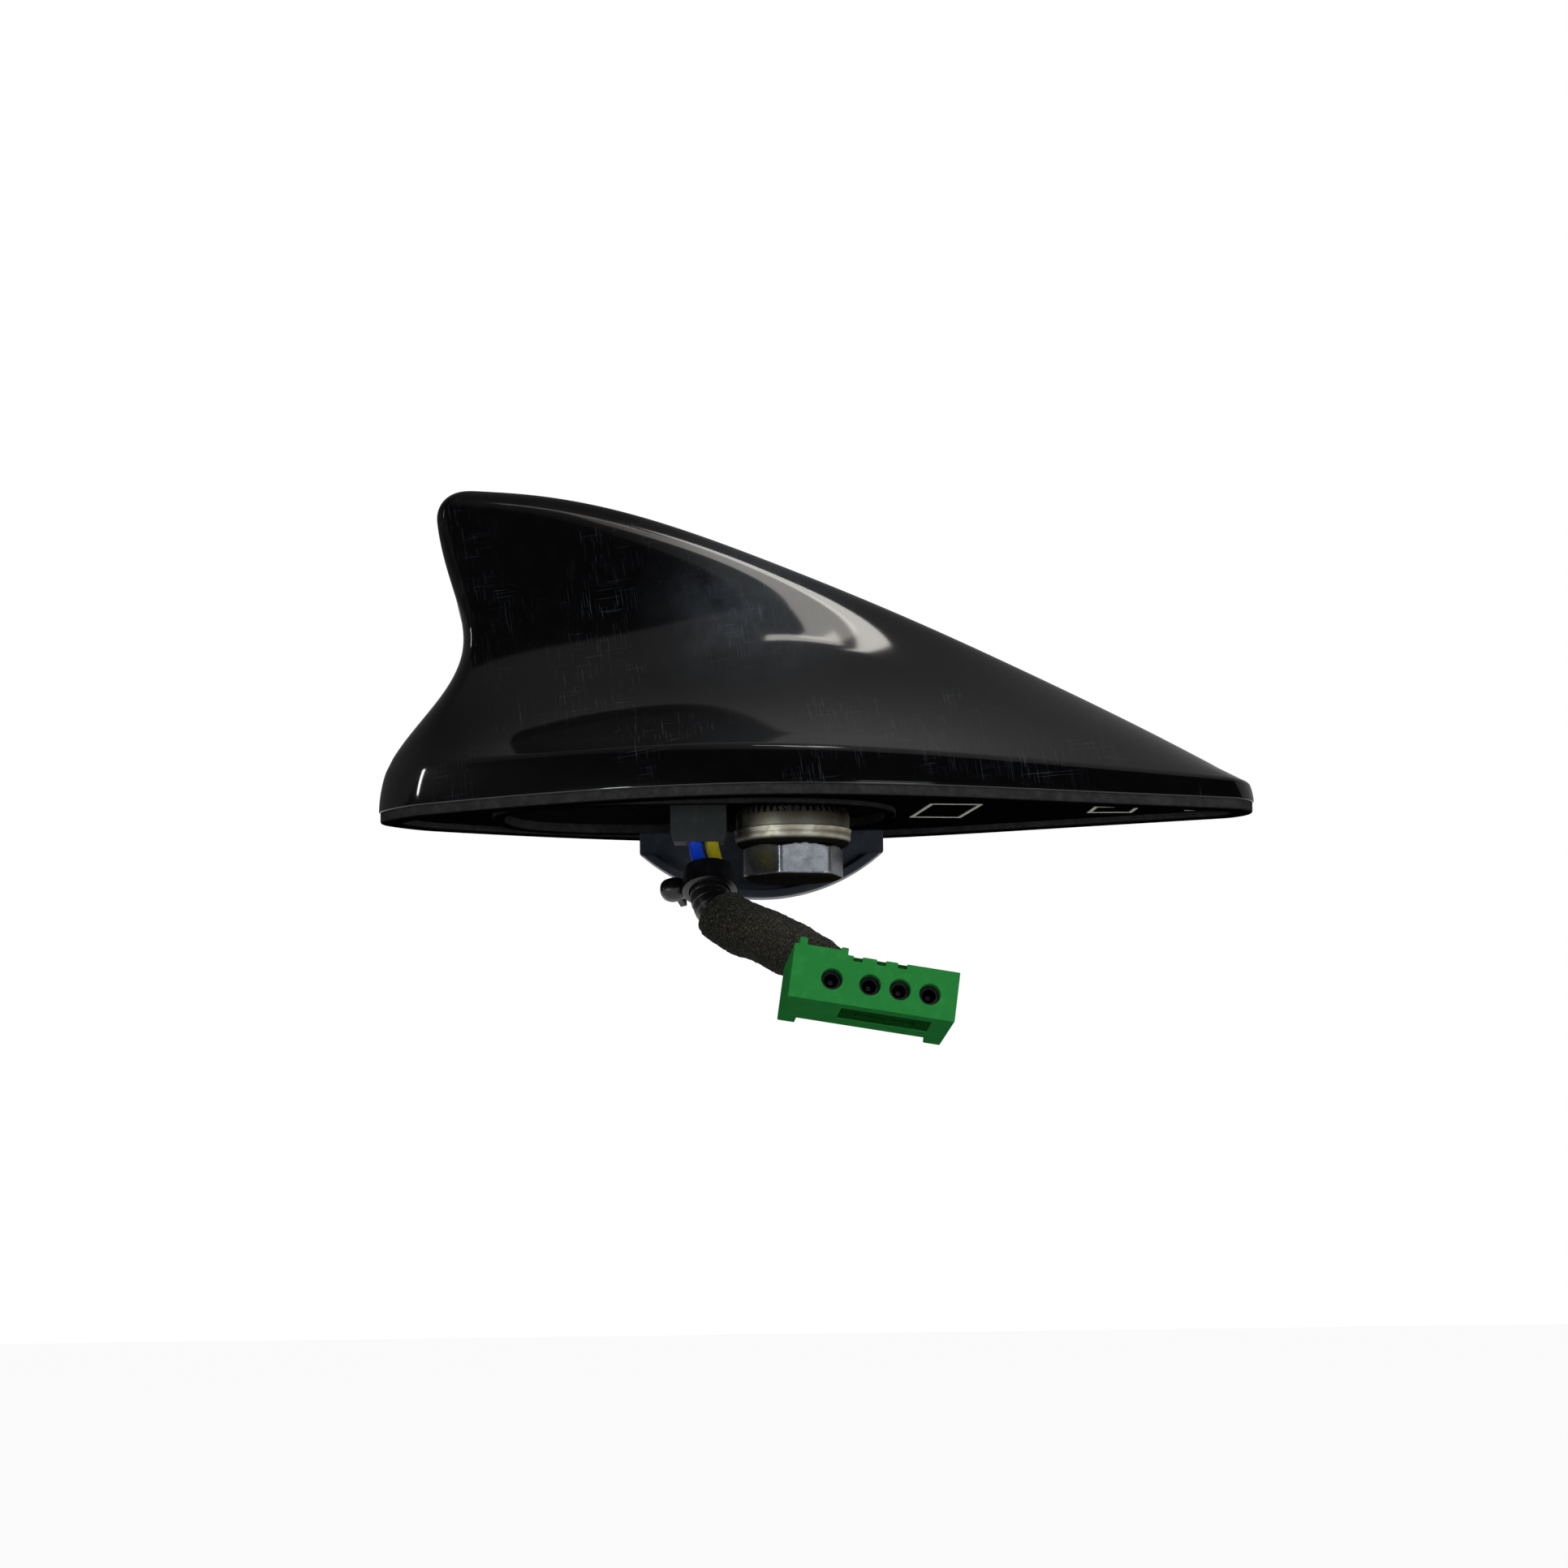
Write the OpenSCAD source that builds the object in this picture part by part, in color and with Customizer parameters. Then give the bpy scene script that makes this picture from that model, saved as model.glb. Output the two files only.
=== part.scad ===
// Shark fin roof aerial with its bolt, earthing collar and four-way lead.
// +X is the nose, +Z is up, and the origin is on the bolt's axis at the roof's outer face.

/* [Cover] */
// From the bolt's axis back to the rear edge of the skirt
cover_rear = 78; // [70:1:90]
// From the bolt's axis forward to the nose
cover_nose = 87; // [84:1:100]
// Width over the skirt where it is widest
cover_w = 73; // [66:0.5:80]
// Height of the fin above the roof
cover_h = 63.8; // [58:0.2:72]
// Wall of the moulding
cover_wall = 2.2; // [1.8:0.1:2.6]
// Height of the near-vertical skirt at the rear
skirt_h = 7.6; // [6.5:0.1:9]
// How much of the skirt's height is lost by the time it reaches the nose
skirt_drop = 4; // [2:0.1:4.5]
// How far the skirt leans in at its sides
skirt_lean = 0.9; // [0.4:0.1:1.4]
// Half the thickness of the fin's blade
blade_half = 4.9; // [4.4:0.1:5.6]

/* [Seal and plate] */
// Thickness of the rubber seal, which the cover stands on
seal_t = 2; // [1.6:0.1:2.6]
// How far the seal's edge stays inside the cover's edge
seal_inset = 0.3; // [0.1:0.1:0.6]
// Width of the lip that seals on the roof
seal_lip = 4.2; // [3:0.1:5]
// Thickness of the seal's web between lip and bead
seal_web = 0.8; // [0.6:0.1:1.2]
// Width of the bead round the middle recess
seal_bead = 2.4; // [1.8:0.1:3]
// Thickness of the base plate
plate_t = 2.6; // [2.2:0.1:3.2]
// Clearance between the plate and the wall of the cover
plate_gap = 0.3; // [0.2:0.05:0.5]

/* [Bolt and collar] */
// Diameter of the bolt
bolt_d = 10; // [8:0.5:11]
// Width across the flats of the bolt's head
bolt_af = 17; // [15:0.5:18]
// Height of the bolt's head
bolt_head_h = 6.2; // [5.5:0.1:7.5]
// How far the bolt enters the plate's boss
bolt_grip = 11; // [8:0.5:12]
// Outside diameter of the earthing collar
collar_d = 21.8; // [20:0.2:22.4]
// Overall height of the collar, teeth included
collar_h = 7.2; // [6:0.1:8.4]
// Number of teeth round the collar
collar_teeth = 48; // [36:4:56]
// Height of a tooth
tooth_h = 1.1; // [0.8:0.1:1.6]

/* [Cable outlet] */
// Length of the outlet block along the aerial
outlet_l = 10.4; // [9.6:0.1:11]
// Width of the outlet block
outlet_w = 7.2; // [6.8:0.1:8]
// How far the block reaches below the roof's outer face
outlet_drop = 4.9; // [4:0.1:6]
// Diameter of a coaxial lead
coax_d = 2.6; // [2:0.1:2.6]
// Distance between neighbouring leads
coax_pitch = 3.05; // [2.95:0.05:3.2]

/* [Retainer] */
// Length of the half-moon retainer
retainer_l = 46.8; // [42:0.2:50]
// Radius of its lower edge
retainer_r = 35; // [33:0.5:40]
// Width of the retainer's rim
retainer_w = 5; // [4:0.2:6]
// Thickness of its walls
retainer_t = 1.6; // [1.2:0.1:2]

/* [Connector] */
// Width of the green housing along its row of ports
conn_w = 28.4; // [27:0.2:32]
// Height of the housing
conn_h = 8.7; // [8:0.1:10]
// Depth of the housing from its mating face
conn_d = 16; // [14:0.5:18]
// Diameter of a port
port_d = 3.6; // [3.2:0.1:4]
// Depth of a port
port_depth = 8; // [6:0.5:10]

/* [Electronics] */
// Height of the main board's underside above the base plate
board_lift = 3.4; // [2.6:0.1:4]
// Thickness of the printed boards
board_t = 1.6; // [1:0.1:1.8]
// Side of the square ceramic patch
patch_l = 25; // [18:0.5:26]
// Thickness of the ceramic patch
patch_t = 4; // [3:0.5:4]

/* [Hidden] */
eps = 0.01;

// The cover's form is read from four curves, each a smooth line through evenly spaced shares of a size.
// Half width in plan, rear to nose, as a share of half the width
plan_shape = [0.19, 0.45, 0.675, 0.86, 0.98, 1.025, 0.955, 0.835, 0.67, 0.49, 0.325, 0.155];
// Height of the ridge, from above the waist to the nose, as a share of the overall height
ridge_shape = [1.004, 0.991, 0.944, 0.867, 0.773, 0.674, 0.568, 0.454, 0.337, 0.214, 0.082];
// Set-back of the trailing edge, skirt to tip, as a share of the rear length
rear_shape = [1.002, 0.995, 0.922, 0.834, 0.788, 0.803, 0.836, 0.86, 0.866];
// How sharply the flared foot leaves the blade, rear to nose
flare_power = [4.8, 4.9, 5.05, 4.75, 3.6, 2.42, 2.3, 1.86, 1.36, 1.05, 1, 1];
// Half thickness of the blade, rear to nose, as a share of blade_half
blade_shape = [1, 1, 1, 0.97, 0.9, 0.98, 1.09, 1.05, 0.91, 0.76, 0.62, 0.55];
// Depth over which the blade rounds off to the ridge, rear to nose
shoulder = [4.5, 4.5, 5.5, 8, 11, 12.5, 12, 11, 10.2, 9.6, 8.8, 8.5];
ridge_start = cover_rear * 0.808;
rear_end_r = 9;
nose_end_r = 4.6;
tip_r = 6;
ring_n = 29;
flare_rings = 30;

half_w = cover_w / 2;
cover_l = cover_rear + cover_nose;
crease_top = seal_t + skirt_h;
function limit(v, lo, hi) = min(max(v, lo), hi);
function knot(v, i) = i < 0 ? 2 * v[0] - v[1]
    : i > len(v) - 1 ? 2 * v[len(v) - 1] - v[len(v) - 2] : v[i];
// A cubic B-spline over evenly spaced values, at place s counted in knots
function spline(v, s) =
    let(i = floor(limit(s, 0, len(v) - 1.0001)), f = limit(s, 0, len(v) - 1) - i)
    (pow(1 - f, 3) * knot(v, i - 1) + (3 * pow(f, 3) - 6 * f * f + 4) * knot(v, i)
        + (3 * f * f - 3 * pow(f, 3) + 3 * f + 1) * knot(v, i + 1) + pow(f, 3) * knot(v, i + 2)) / 6;
function round_end(d, r) = d >= r ? 1 : d <= 0 ? 0 : sqrt(1 - pow(1 - d / r, 2));

function plan_knot(x) = (x + cover_rear) / cover_l * (len(plan_shape) - 1);
// Half width of the leaf outline at x, without its rounded ends
function leaf(x) = half_w * spline(plan_shape, plan_knot(x));
// Half width of the rim's outline at x
function rim_half(x) = leaf(x) * round_end(x + cover_rear, rear_end_r) * round_end(cover_nose - x, nose_end_r);
function ridge_z(x) = cover_h
    * spline(ridge_shape, (x + ridge_start) / (cover_nose + ridge_start) * (len(ridge_shape) - 1));
function rear_x(z) = -cover_rear * spline(rear_shape, (z - seal_t) / (cover_h - seal_t) * (len(rear_shape) - 1))
    + tip_r * (1 - sqrt(1 - pow(limit((z - cover_h) / tip_r + 1, 0, 1), 2)));
function skirt_at(x) = skirt_h - skirt_drop * pow(limit((x + 20) / (cover_nose + 20), 0, 1), 1.3);
function crease_z(x) = seal_t + skirt_at(x);
// Place along the nose at which the ridge stands h above the crease
function ridge_x(h, a = -ridge_start, b = cover_nose, n = 24) =
    n == 0 ? (a + b) / 2
    : let(m = (a + b) / 2) ridge_z(m) - crease_z(m) > h ? ridge_x(h, m, b, n - 1) : ridge_x(h, a, m, n - 1);

// One ring of the skirt: t is 0 at the rim and 1 at the crease
skirt_rear = -rear_x(crease_top);
skirt_nose = ridge_x(0);
function skirt_end(t, full, top) = full + (top - full) * t * t;
function skirt_half(x, t) =
    let(a = -skirt_end(t, cover_rear, skirt_rear), b = skirt_end(t, cover_nose, skirt_nose),
        u = (x - a) / (b - a))
    rim_half(-cover_rear + cover_l * u) * (1 - skirt_lean * t * t / half_w);
function end_radius(z) = 2.6 + 6.4 * exp(-pow(limit((z - crease_top) / 12, 0, 9), 1.4));
function blade(x, d) = (blade_half * spline(blade_shape, plan_knot(x)) + 0.012 * d)
    * round_end(d, spline(shoulder, plan_knot(x)));
// Half width at x, at the height h above the crease
function upper_half(x, h) =
    let(foot = skirt_half(x, 1), u = (x + skirt_rear) / (skirt_nose + skirt_rear),
        full = half_w * (1 - skirt_lean / half_w) * spline(plan_shape, u * (len(plan_shape) - 1))
            * round_end(skirt_nose - x, nose_end_r),
        top = ridge_z(x) - crease_z(x), d = top - h, z = crease_z(x) + h, b = min(blade(x, d), full))
    (b + (full - b) * pow(limit(1 - h / max(top, eps), 0, 1), spline(flare_power, plan_knot(x))))
        * round_end(x - rear_x(z), end_radius(z));

// Rings of points: a ring runs from the rear end along +Y to the nose and back along -Y
function along(i) = (1 - cos(180 * i / ring_n)) / 2;
function ring(a, b, half, z) = concat(
    [for (i = [0:ring_n]) let(x = a + (b - a) * along(i)) [x, i % ring_n == 0 ? 0 : half[i], z[i]]],
    [for (i = [ring_n - 1:-1:1]) let(x = a + (b - a) * along(i)) [x, -half[i], z[i]]]);
function skirt_ring(t) =
    let(a = -skirt_end(t, cover_rear, skirt_rear), b = skirt_end(t, cover_nose, skirt_nose))
    ring(a, b, [for (i = [0:ring_n]) skirt_half(a + (b - a) * along(i), t)],
        [for (i = [0:ring_n]) seal_t + t * skirt_at(a + (b - a) * along(i))]);
function upper_ring(h) =
    let(a = rear_x(crease_top + h), b = ridge_x(h))
    ring(a, b, [for (i = [0:ring_n]) upper_half(a + (b - a) * along(i), h)],
        [for (i = [0:ring_n]) h + crease_z(a + (b - a) * along(i))]);
// Rings of the cavity keep one wall inside the skin
roof_shift = 0.4 * cover_wall;
function spare(x, h) = upper_half(x, h) - cover_wall;
function wall_x(h, a, b, n = 18) =
    n == 0 ? b : let(m = (a + b) / 2) spare(m, h) > 0 ? wall_x(h, a, m, n - 1) : wall_x(h, m, b, n - 1);
function cavity_ring(h) =
    let(a0 = rear_x(crease_top + h), b0 = ridge_x(h), m = a0 + 0.35 * (b0 - a0),
        a = wall_x(h, a0, m), b = wall_x(h, b0, m))
    ring(a, b, [for (i = [0:ring_n]) max(spare(a + (b - a) * along(i), h), 0)],
        [for (i = [0:ring_n]) h - roof_shift + crease_z(a + (b - a) * along(i))]);
function mouth_half(x) = skirt_half(x, 0) - cover_wall;
function mouth_x(a, b, n = 18) =
    n == 0 ? b : let(m = (a + b) / 2) mouth_half(m) > 0 ? mouth_x(a, m, n - 1) : mouth_x(m, b, n - 1);
mouth_rear = mouth_x(-cover_rear, -cover_rear + 12);
mouth_nose = mouth_x(cover_nose, cover_nose - 12);
function flat_ring(a, b, half, z) = ring(a, b, [for (i = [0:ring_n]) max(half(a + (b - a) * along(i)), 0)],
    [for (i = [0:ring_n]) z]);

outer_rings = concat([for (t = [0, 0.35, 0.7, 1]) skirt_ring(t)],
    [for (j = [1:flare_rings]) let(x = skirt_nose - (skirt_nose + ridge_start - 6) * j / flare_rings)
        upper_ring(ridge_z(x) - crease_z(x))]);
cavity_heights = [0, 3, 6, 9.5, 13, 17, 22, 28, 34, 40, 45, 48.5];
cavity_share = (cover_h - crease_top) / 54.2;
inner_rings = concat([flat_ring(mouth_rear, mouth_nose, function(x) mouth_half(x), seal_t)],
    [for (h = cavity_heights) cavity_ring(h * cavity_share)]);

ring_len = 2 * ring_n;
function spot(j, i) = j * ring_len + i % ring_len;
// Triangles between ring j and the next one, the same on both sides
function band(j, out) = [for (i = [0:ring_len - 1])
    let(p = spot(j, i), q = spot(j, i + 1), r = spot(j + 1, i + 1), s = spot(j + 1, i),
        pair = i < ring_n ? [[p, q, r], [p, r, s]] : [[p, q, s], [q, r, s]])
    each out ? pair : [for (f = pair) [f[2], f[1], f[0]]]];

module cover_shell() {
    n = len(outer_rings);
    m = len(inner_rings);
    rim = [for (i = [0:ring_len - 1]) [spot(0, i), spot(n, i), spot(n, i + 1), spot(0, i + 1)]];
    top = [for (i = [0:ring_len - 1]) spot(n - 1, i)];
    roof = [for (i = [ring_len - 1:-1:0]) spot(n + m - 1, i)];
    polyhedron(
        points = [each for (r = outer_rings) r, each for (r = inner_rings) r],
        faces = concat([for (j = [0:n - 2]) each band(j, true)], [for (j = [n:n + m - 2]) each band(j, false)],
            rim, [top, roof]));
}

module cover_solid() {
    n = len(outer_rings);
    polyhedron(
        points = [each for (r = outer_rings) r],
        faces = concat([for (j = [0:n - 2]) each band(j, true)],
            [[for (i = [ring_len - 1:-1:0]) spot(0, i)], [for (i = [0:ring_len - 1]) spot(n - 1, i)]]));
}

module cover() {
    color([0.03, 0.03, 0.035]) difference() {
        union() {
            cover_shell();
            intersection() {
                cover_solid();
                at_each(cover_screw_at) translate([0, 0, plate_top]) cylinder(d = boss_d, h = 20, $fn = 24);
            }
        }
        at_each(cover_screw_at) translate([0, 0, plate_top - 1])
            cylinder(d = screw_d + slip, h = screw_l - plate_t + 2, $fn = 24);
    }
}

// Flat outlines that follow the cover's rim, each a true distance inside it
plan_n = 34;
function rim_slope(x) = (rim_half(x + 0.05) - rim_half(x - 0.05)) / 0.1;
function inside(x, g) = let(s = rim_slope(x), k = sqrt(1 + s * s))
    [x + g * s / k, max(rim_half(x) - g / k, eps)];
function outline(g) =
    let(side = [for (i = [1:plan_n - 1]) inside(-cover_rear + cover_l * (1 - cos(180 * i / plan_n)) / 2, g)])
    concat([[-cover_rear + g, 0]], side, [[cover_nose - g, 0]],
        [for (i = [plan_n - 2:-1:0]) [side[i][0], -side[i][1]]]);
module slab(g, z0, z1) translate([0, 0, z0]) linear_extrude(z1 - z0) polygon(outline(g));
// An oval with fuller ends than an ellipse
function oval(rx, ry) = [for (a = [0:7.5:352.5])
    [rx * sign(cos(a)) * pow(abs(cos(a)), 0.75), ry * sign(sin(a)) * pow(abs(sin(a)), 0.75)]];
recess_x = -18.5;
recess_rx = 35.5;
recess_ry = 21.5;
module recess(grow, z0, z1) translate([recess_x, 0, z0])
    linear_extrude(z1 - z0) polygon(oval(recess_rx + grow, recess_ry + grow));
module at_each(places) for (p = places) translate([p[0], p[1], 0]) children();

// Heights
plate_top = seal_t + plate_t;
board_z = plate_top + board_lift;
board_top = board_z + board_t;
wall_lean = skirt_lean * plate_t / (skirt_h - roof_shift);
plate_inset = cover_wall + plate_gap + wall_lean;
plate_nose_x = skirt_nose - cover_wall - 2;
gasket_w = 1.3;
gasket_t = 1.2;
slip = 0.1;
lead_slip = 0.25;

module base_seal() {
    color([0.1, 0.1, 0.1]) difference() {
        union() {
            difference() {
                slab(seal_inset, 0, seal_t);
                slab(seal_inset + seal_lip, -1, seal_t - seal_web);
            }
            recess(seal_bead, 0.2, seal_t);
        }
        recess(0, -1, seal_t + 1);
    }
}

// Fastening places
board_rear = 22 - cover_rear;
board_nose = cover_nose - 40;
cover_screw_at = [for (p = [[17 - cover_rear, 7.5], [cover_nose - 36, 10.5]], s = [1, -1]) [p[0], s * p[1]]];
board_screw_at = [for (p = [[board_rear + 4, 7.5], [board_nose - 4, 8]], s = [1, -1]) [p[0], s * p[1]]];
screw_d = 2.9;
screw_head_d = 5.4;
screw_l = 9.5;
board_screw_d = 2.5;
standoff_d = 5.6;
boss_d = 6.4;
bolt_boss_d = 18;
bolt_slip = 0.1;
outlet_x = -17.6;
outlet_y = -4.8;
lead_shift = 0.8;
outlet_slip = 0.2;
peg_d = 2.6;
peg_at = [[-17, 13.1], [1, 13.1]];

module base_plate() {
    color([0.07, 0.07, 0.08]) difference() {
        union() {
            intersection() {
                slab(plate_inset, seal_t, plate_top - gasket_t);
                translate([-cover_rear, -half_w, 0]) cube([cover_rear + plate_nose_x, cover_w, 20]);
            }
            intersection() {
                slab(plate_inset + gasket_w, seal_t + 0.5, plate_top);
                translate([-cover_rear, -half_w, 0])
                    cube([cover_rear + plate_nose_x - gasket_w, cover_w, 20]);
            }
            cylinder(d = bolt_boss_d, h = seal_t + bolt_grip + 2, $fn = 64);
            for (a = [30, 90, 150, 270, 330]) rotate([0, 0, a])
                translate([bolt_boss_d / 2 - 1, -1, seal_t + 1]) cube([6, 2, plate_t + 1.4]);
            at_each(board_screw_at) translate([0, 0, seal_t + 1])
                cylinder(d = standoff_d, h = board_z - seal_t - 1, $fn = 32);
        }
        translate([0, 0, -1]) cylinder(d = bolt_d + 2 * bolt_slip, h = seal_t + bolt_grip + 1.5, $fn = 64);
        translate([0, 0, -1]) cylinder(d = 30, h = seal_t + 1, $fn = 64);
        at_each(board_screw_at) translate([0, 0, plate_top])
            cylinder(d = board_screw_d + slip, h = 20, $fn = 24);
        at_each(cover_screw_at) {
            cylinder(d = screw_d + 0.4, h = 20, $fn = 24);
            translate([0, 0, seal_t - eps])
                cylinder(d1 = screw_head_d + 0.2, d2 = screw_d + 0.4, h = 1.5, $fn = 32);
        }
        at_each(peg_at) cylinder(d = peg_d + slip, h = 20, $fn = 24);
        translate([outlet_x - outlet_l / 2 - outlet_slip, outlet_y - outlet_w / 2 - outlet_slip, 0])
            cube([outlet_l + 2 * outlet_slip, outlet_w + 2 * outlet_slip, 20]);
    }
}

module cover_gasket() {
    color([0.2, 0.2, 0.22]) difference() {
        intersection() {
            slab(plate_inset - slip, plate_top - gasket_t, plate_top);
            translate([-cover_rear, -half_w, 0]) cube([cover_rear + plate_nose_x, cover_w, 20]);
        }
        intersection() {
            slab(plate_inset + gasket_w - slip, 0, 20);
            translate([-cover_rear, -half_w, 0])
                cube([cover_rear + plate_nose_x - gasket_w + slip, cover_w, 20]);
        }
    }
}

module cover_screws() {
    color([0.6, 0.6, 0.62]) at_each(cover_screw_at) translate([0, 0, seal_t + 0.05]) {
        cylinder(d1 = screw_head_d, d2 = screw_d, h = 1.4, $fn = 32);
        cylinder(d = screw_d, h = screw_l, $fn = 24);
    }
}

module board_screws() {
    color([0.7, 0.7, 0.72]) at_each(board_screw_at) {
        translate([0, 0, board_top]) cylinder(d = 4.6, h = 1.5, $fn = 32);
        translate([0, 0, plate_top + 0.5]) cylinder(d = board_screw_d, h = board_top - plate_top, $fn = 24);
    }
}

// Main board: wide round the bolt's boss, narrower towards both ends
patch_x = board_nose - 20;
pin_d = 1.2;
pin_at = [patch_x + 2.5, 1.5];
module main_board() {
    edge = [[board_rear, 10.5], [board_rear + 14, 17], [board_rear + 32, 20], [board_nose - 13, 20],
        [board_nose, 12]];
    color([0.05, 0.28, 0.12]) difference() {
        translate([0, 0, board_z]) linear_extrude(board_t)
            polygon([each edge, for (i = [len(edge) - 1:-1:0]) [edge[i][0], -edge[i][1]]]);
        cylinder(d = bolt_boss_d + 1.4, h = 40, $fn = 64);
        at_each(board_screw_at) cylinder(d = board_screw_d + 0.3, h = 40, $fn = 24);
        at_each([pin_at]) cylinder(d = pin_d + slip, h = 40, $fn = 24);
    }
}

can_x = board_rear / 1.4;
can_y = 5.8;
can_l = 25;
can_w = 9.5;
can_h = 4;
can_t = 0.3;
module shield_can() {
    color([0.78, 0.78, 0.8]) translate([can_x, can_y, board_top]) difference() {
        cube([can_l, can_w, can_h]);
        translate([can_t, can_t, -1]) cube([can_l - 2 * can_t, can_w - 2 * can_t, can_h + 1 - can_t]);
        for (x = [4:4:can_l - 3], y = [3, can_w - 3])
            translate([x, y, 1]) cylinder(d = 1.2, h = can_h, $fn = 16);
    }
}

module gnss_patch() {
    color([0.72, 0.66, 0.52]) difference() {
        translate([patch_x - patch_l / 2, -patch_l / 2, board_top]) cube([patch_l, patch_l, patch_t]);
        at_each([pin_at]) cylinder(d = pin_d + slip, h = 40, $fn = 24);
    }
}

electrode_t = 0.1;
module gnss_electrode() {
    side = patch_l - 4;
    color([0.85, 0.85, 0.82]) difference() {
        translate([patch_x - side / 2, -side / 2, board_top + patch_t]) difference() {
            cube([side, side, electrode_t]);
            for (c = [0, 1]) translate([c * side, c * side, -1])
                rotate([0, 0, 45]) translate([-1.4, -1.4, 0]) cube([2.8, 2.8, 3]);
        }
        at_each([pin_at]) cylinder(d = pin_d + slip, h = 40, $fn = 24);
    }
}

module gnss_pin() {
    color([0.8, 0.7, 0.35]) at_each([pin_at]) {
        translate([0, 0, board_top + patch_t + electrode_t]) cylinder(d = 2.4, h = 0.5, $fn = 24);
        translate([0, 0, board_z - 1]) cylinder(d = pin_d, h = board_t + patch_t + 1.2, $fn = 24);
    }
}

// Upright board in the fin, its foot and what it carries
fin_foot_z = board_top + 3.4;
fin_top_z = cover_h - 8.8;
fin_rear = 19 - cover_rear;
fin_foot_x = -24;
bracket_w = 9;
slot_w = 5.2;
module fin_profile() polygon([[fin_rear + 9, fin_foot_z], [fin_foot_x, fin_foot_z], [fin_foot_x + 4, 24],
    [fin_foot_x + 4, fin_top_z - 10], [fin_foot_x - 6, fin_top_z - 4.5], [fin_rear + 14, fin_top_z],
    [fin_rear, fin_top_z], [fin_rear, fin_top_z - 7], [fin_rear + 2.5, fin_top_z - 15],
    [fin_rear + 3.5, fin_top_z - 25]]);
module fin_board() {
    color([0.06, 0.25, 0.12]) translate([0, board_t / 2, 0]) rotate([90, 0, 0])
        linear_extrude(board_t) fin_profile();
}

module fin_bracket() {
    foot_rear = fin_rear + 9;
    foot_l = fin_foot_x - foot_rear;
    color([0.16, 0.16, 0.17]) difference() {
        union() {
            translate([foot_rear, -bracket_w / 2, board_top]) cube([foot_l, bracket_w, 2]);
            translate([foot_rear + 2, -slot_w / 2, board_top]) cube([foot_l - 4, slot_w, 9]);
        }
        translate([foot_rear - 1, -board_t / 2 - slip, fin_foot_z])
            cube([foot_l + 2, board_t + 2 * slip, 20]);
    }
}

cap_t = 0.4;
cap_l = 20;
module top_load() {
    inner = board_t / 2 + slip;
    color([0.75, 0.75, 0.77]) translate([fin_rear + 1, 0, fin_top_z]) difference() {
        translate([0, -inner - cap_t, -6]) cube([cap_l, 2 * (inner + cap_t), 6 + slip + cap_t]);
        translate([-1, -inner, -7]) cube([cap_l + 2, 2 * inner, 7 + slip]);
        for (x = [4:4:cap_l - 4]) translate([x, -5, -5]) cube([1.2, 10, 3.4]);
    }
}

// A folded sheet element that stands on the main board along X
module folded_element(x0, x1, y, h, foot, slots) {
    l = x1 - x0;
    translate([x0, y, board_top]) difference() {
        union() {
            cube([l, 0.5, h]);
            translate([0, min(foot, 0), 0]) cube([l, abs(foot), 0.5]);
        }
        for (i = [1:slots]) translate([l * i / (slots + 1) - 0.6, -0.5, i % 2 == 0 ? 1.5 : -1])
            translate([0, 0, i % 2 == 0 ? 0 : 3]) cube([1.2, 1.5, h - 4]);
    }
}
module lte_rear() color([0.8, 0.78, 0.7]) folded_element(board_rear * 0.75, -18, -9.5, 9.6, -4.6, 5);
module lte_front() color([0.8, 0.78, 0.7]) folded_element(board_nose - 33, board_nose - 13, 14.2, 4, 3.2, 0);

spacer_t = 1.7;
module foam_spacer() {
    color([0.25, 0.25, 0.25]) for (y = [board_t / 2, -board_t / 2 - spacer_t])
        translate([fin_rear + 5, y, fin_top_z - 16]) cube([14, spacer_t, 8]);
}

// Fixing bolt: hexagon head under the collar, shank up into the plate's boss
collar_top = seal_t - 0.1;
collar_bottom = collar_top - collar_h;
head_turn = 15;
module fixing_bolt() {
    lower = bolt_af * 0.95;
    upper = bolt_af * 0.99;
    spread = 4 * bolt_head_h;
    shank_l = seal_t + bolt_grip + 0.5 - collar_bottom;
    color([0.62, 0.64, 0.66]) {
        translate([0, 0, collar_bottom - bolt_head_h]) intersection() {
            rotate([0, 0, head_turn]) cylinder(d = bolt_af / cos(30), h = bolt_head_h, $fn = 6);
            cylinder(d1 = lower, d2 = lower + spread, h = bolt_head_h, $fn = 64);
            cylinder(d1 = upper + spread, d2 = upper, h = bolt_head_h, $fn = 64);
        }
        translate([0, 0, collar_bottom - 1]) cylinder(d = bolt_d, h = shank_l, $fn = 64);
    }
}

// Earthing collar: a turned ring with a rolled lower band and a crown of pointed teeth
crown_w = 2.2;
band_h = 3;
tooth_root = collar_top - tooth_h;
tooth_pitch = PI * (collar_d - crown_w) / collar_teeth;
module collar_section() {
    bore = bolt_d / 2 + 0.3;
    r = collar_d / 2;
    step = collar_bottom + band_h;
    polygon([[bore, collar_bottom], [r - 1.3, collar_bottom], [r - 0.5, collar_bottom + 0.4],
        [r, collar_bottom + 1.2], [r, step - 0.5], [r - 0.5, step], [r - 0.5, collar_top],
        [r - crown_w, collar_top], [r - crown_w, tooth_root - 0.4], [bore, tooth_root - 0.4]]);
}
module earthing_collar() {
    color([0.72, 0.7, 0.64]) difference() {
        rotate_extrude($fn = 96) collar_section();
        for (i = [0:collar_teeth - 1]) rotate([0, 0, 360 * i / collar_teeth])
            translate([collar_d / 2 - crown_w - 0.5, 0, 0]) rotate([90, 0, 90]) linear_extrude(crown_w + 1)
                polygon([[-tooth_pitch * 0.46, collar_top + eps], [-tooth_pitch * 0.15, tooth_root],
                    [tooth_pitch * 0.15, tooth_root], [tooth_pitch * 0.46, collar_top + eps]]);
    }
}

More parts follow.
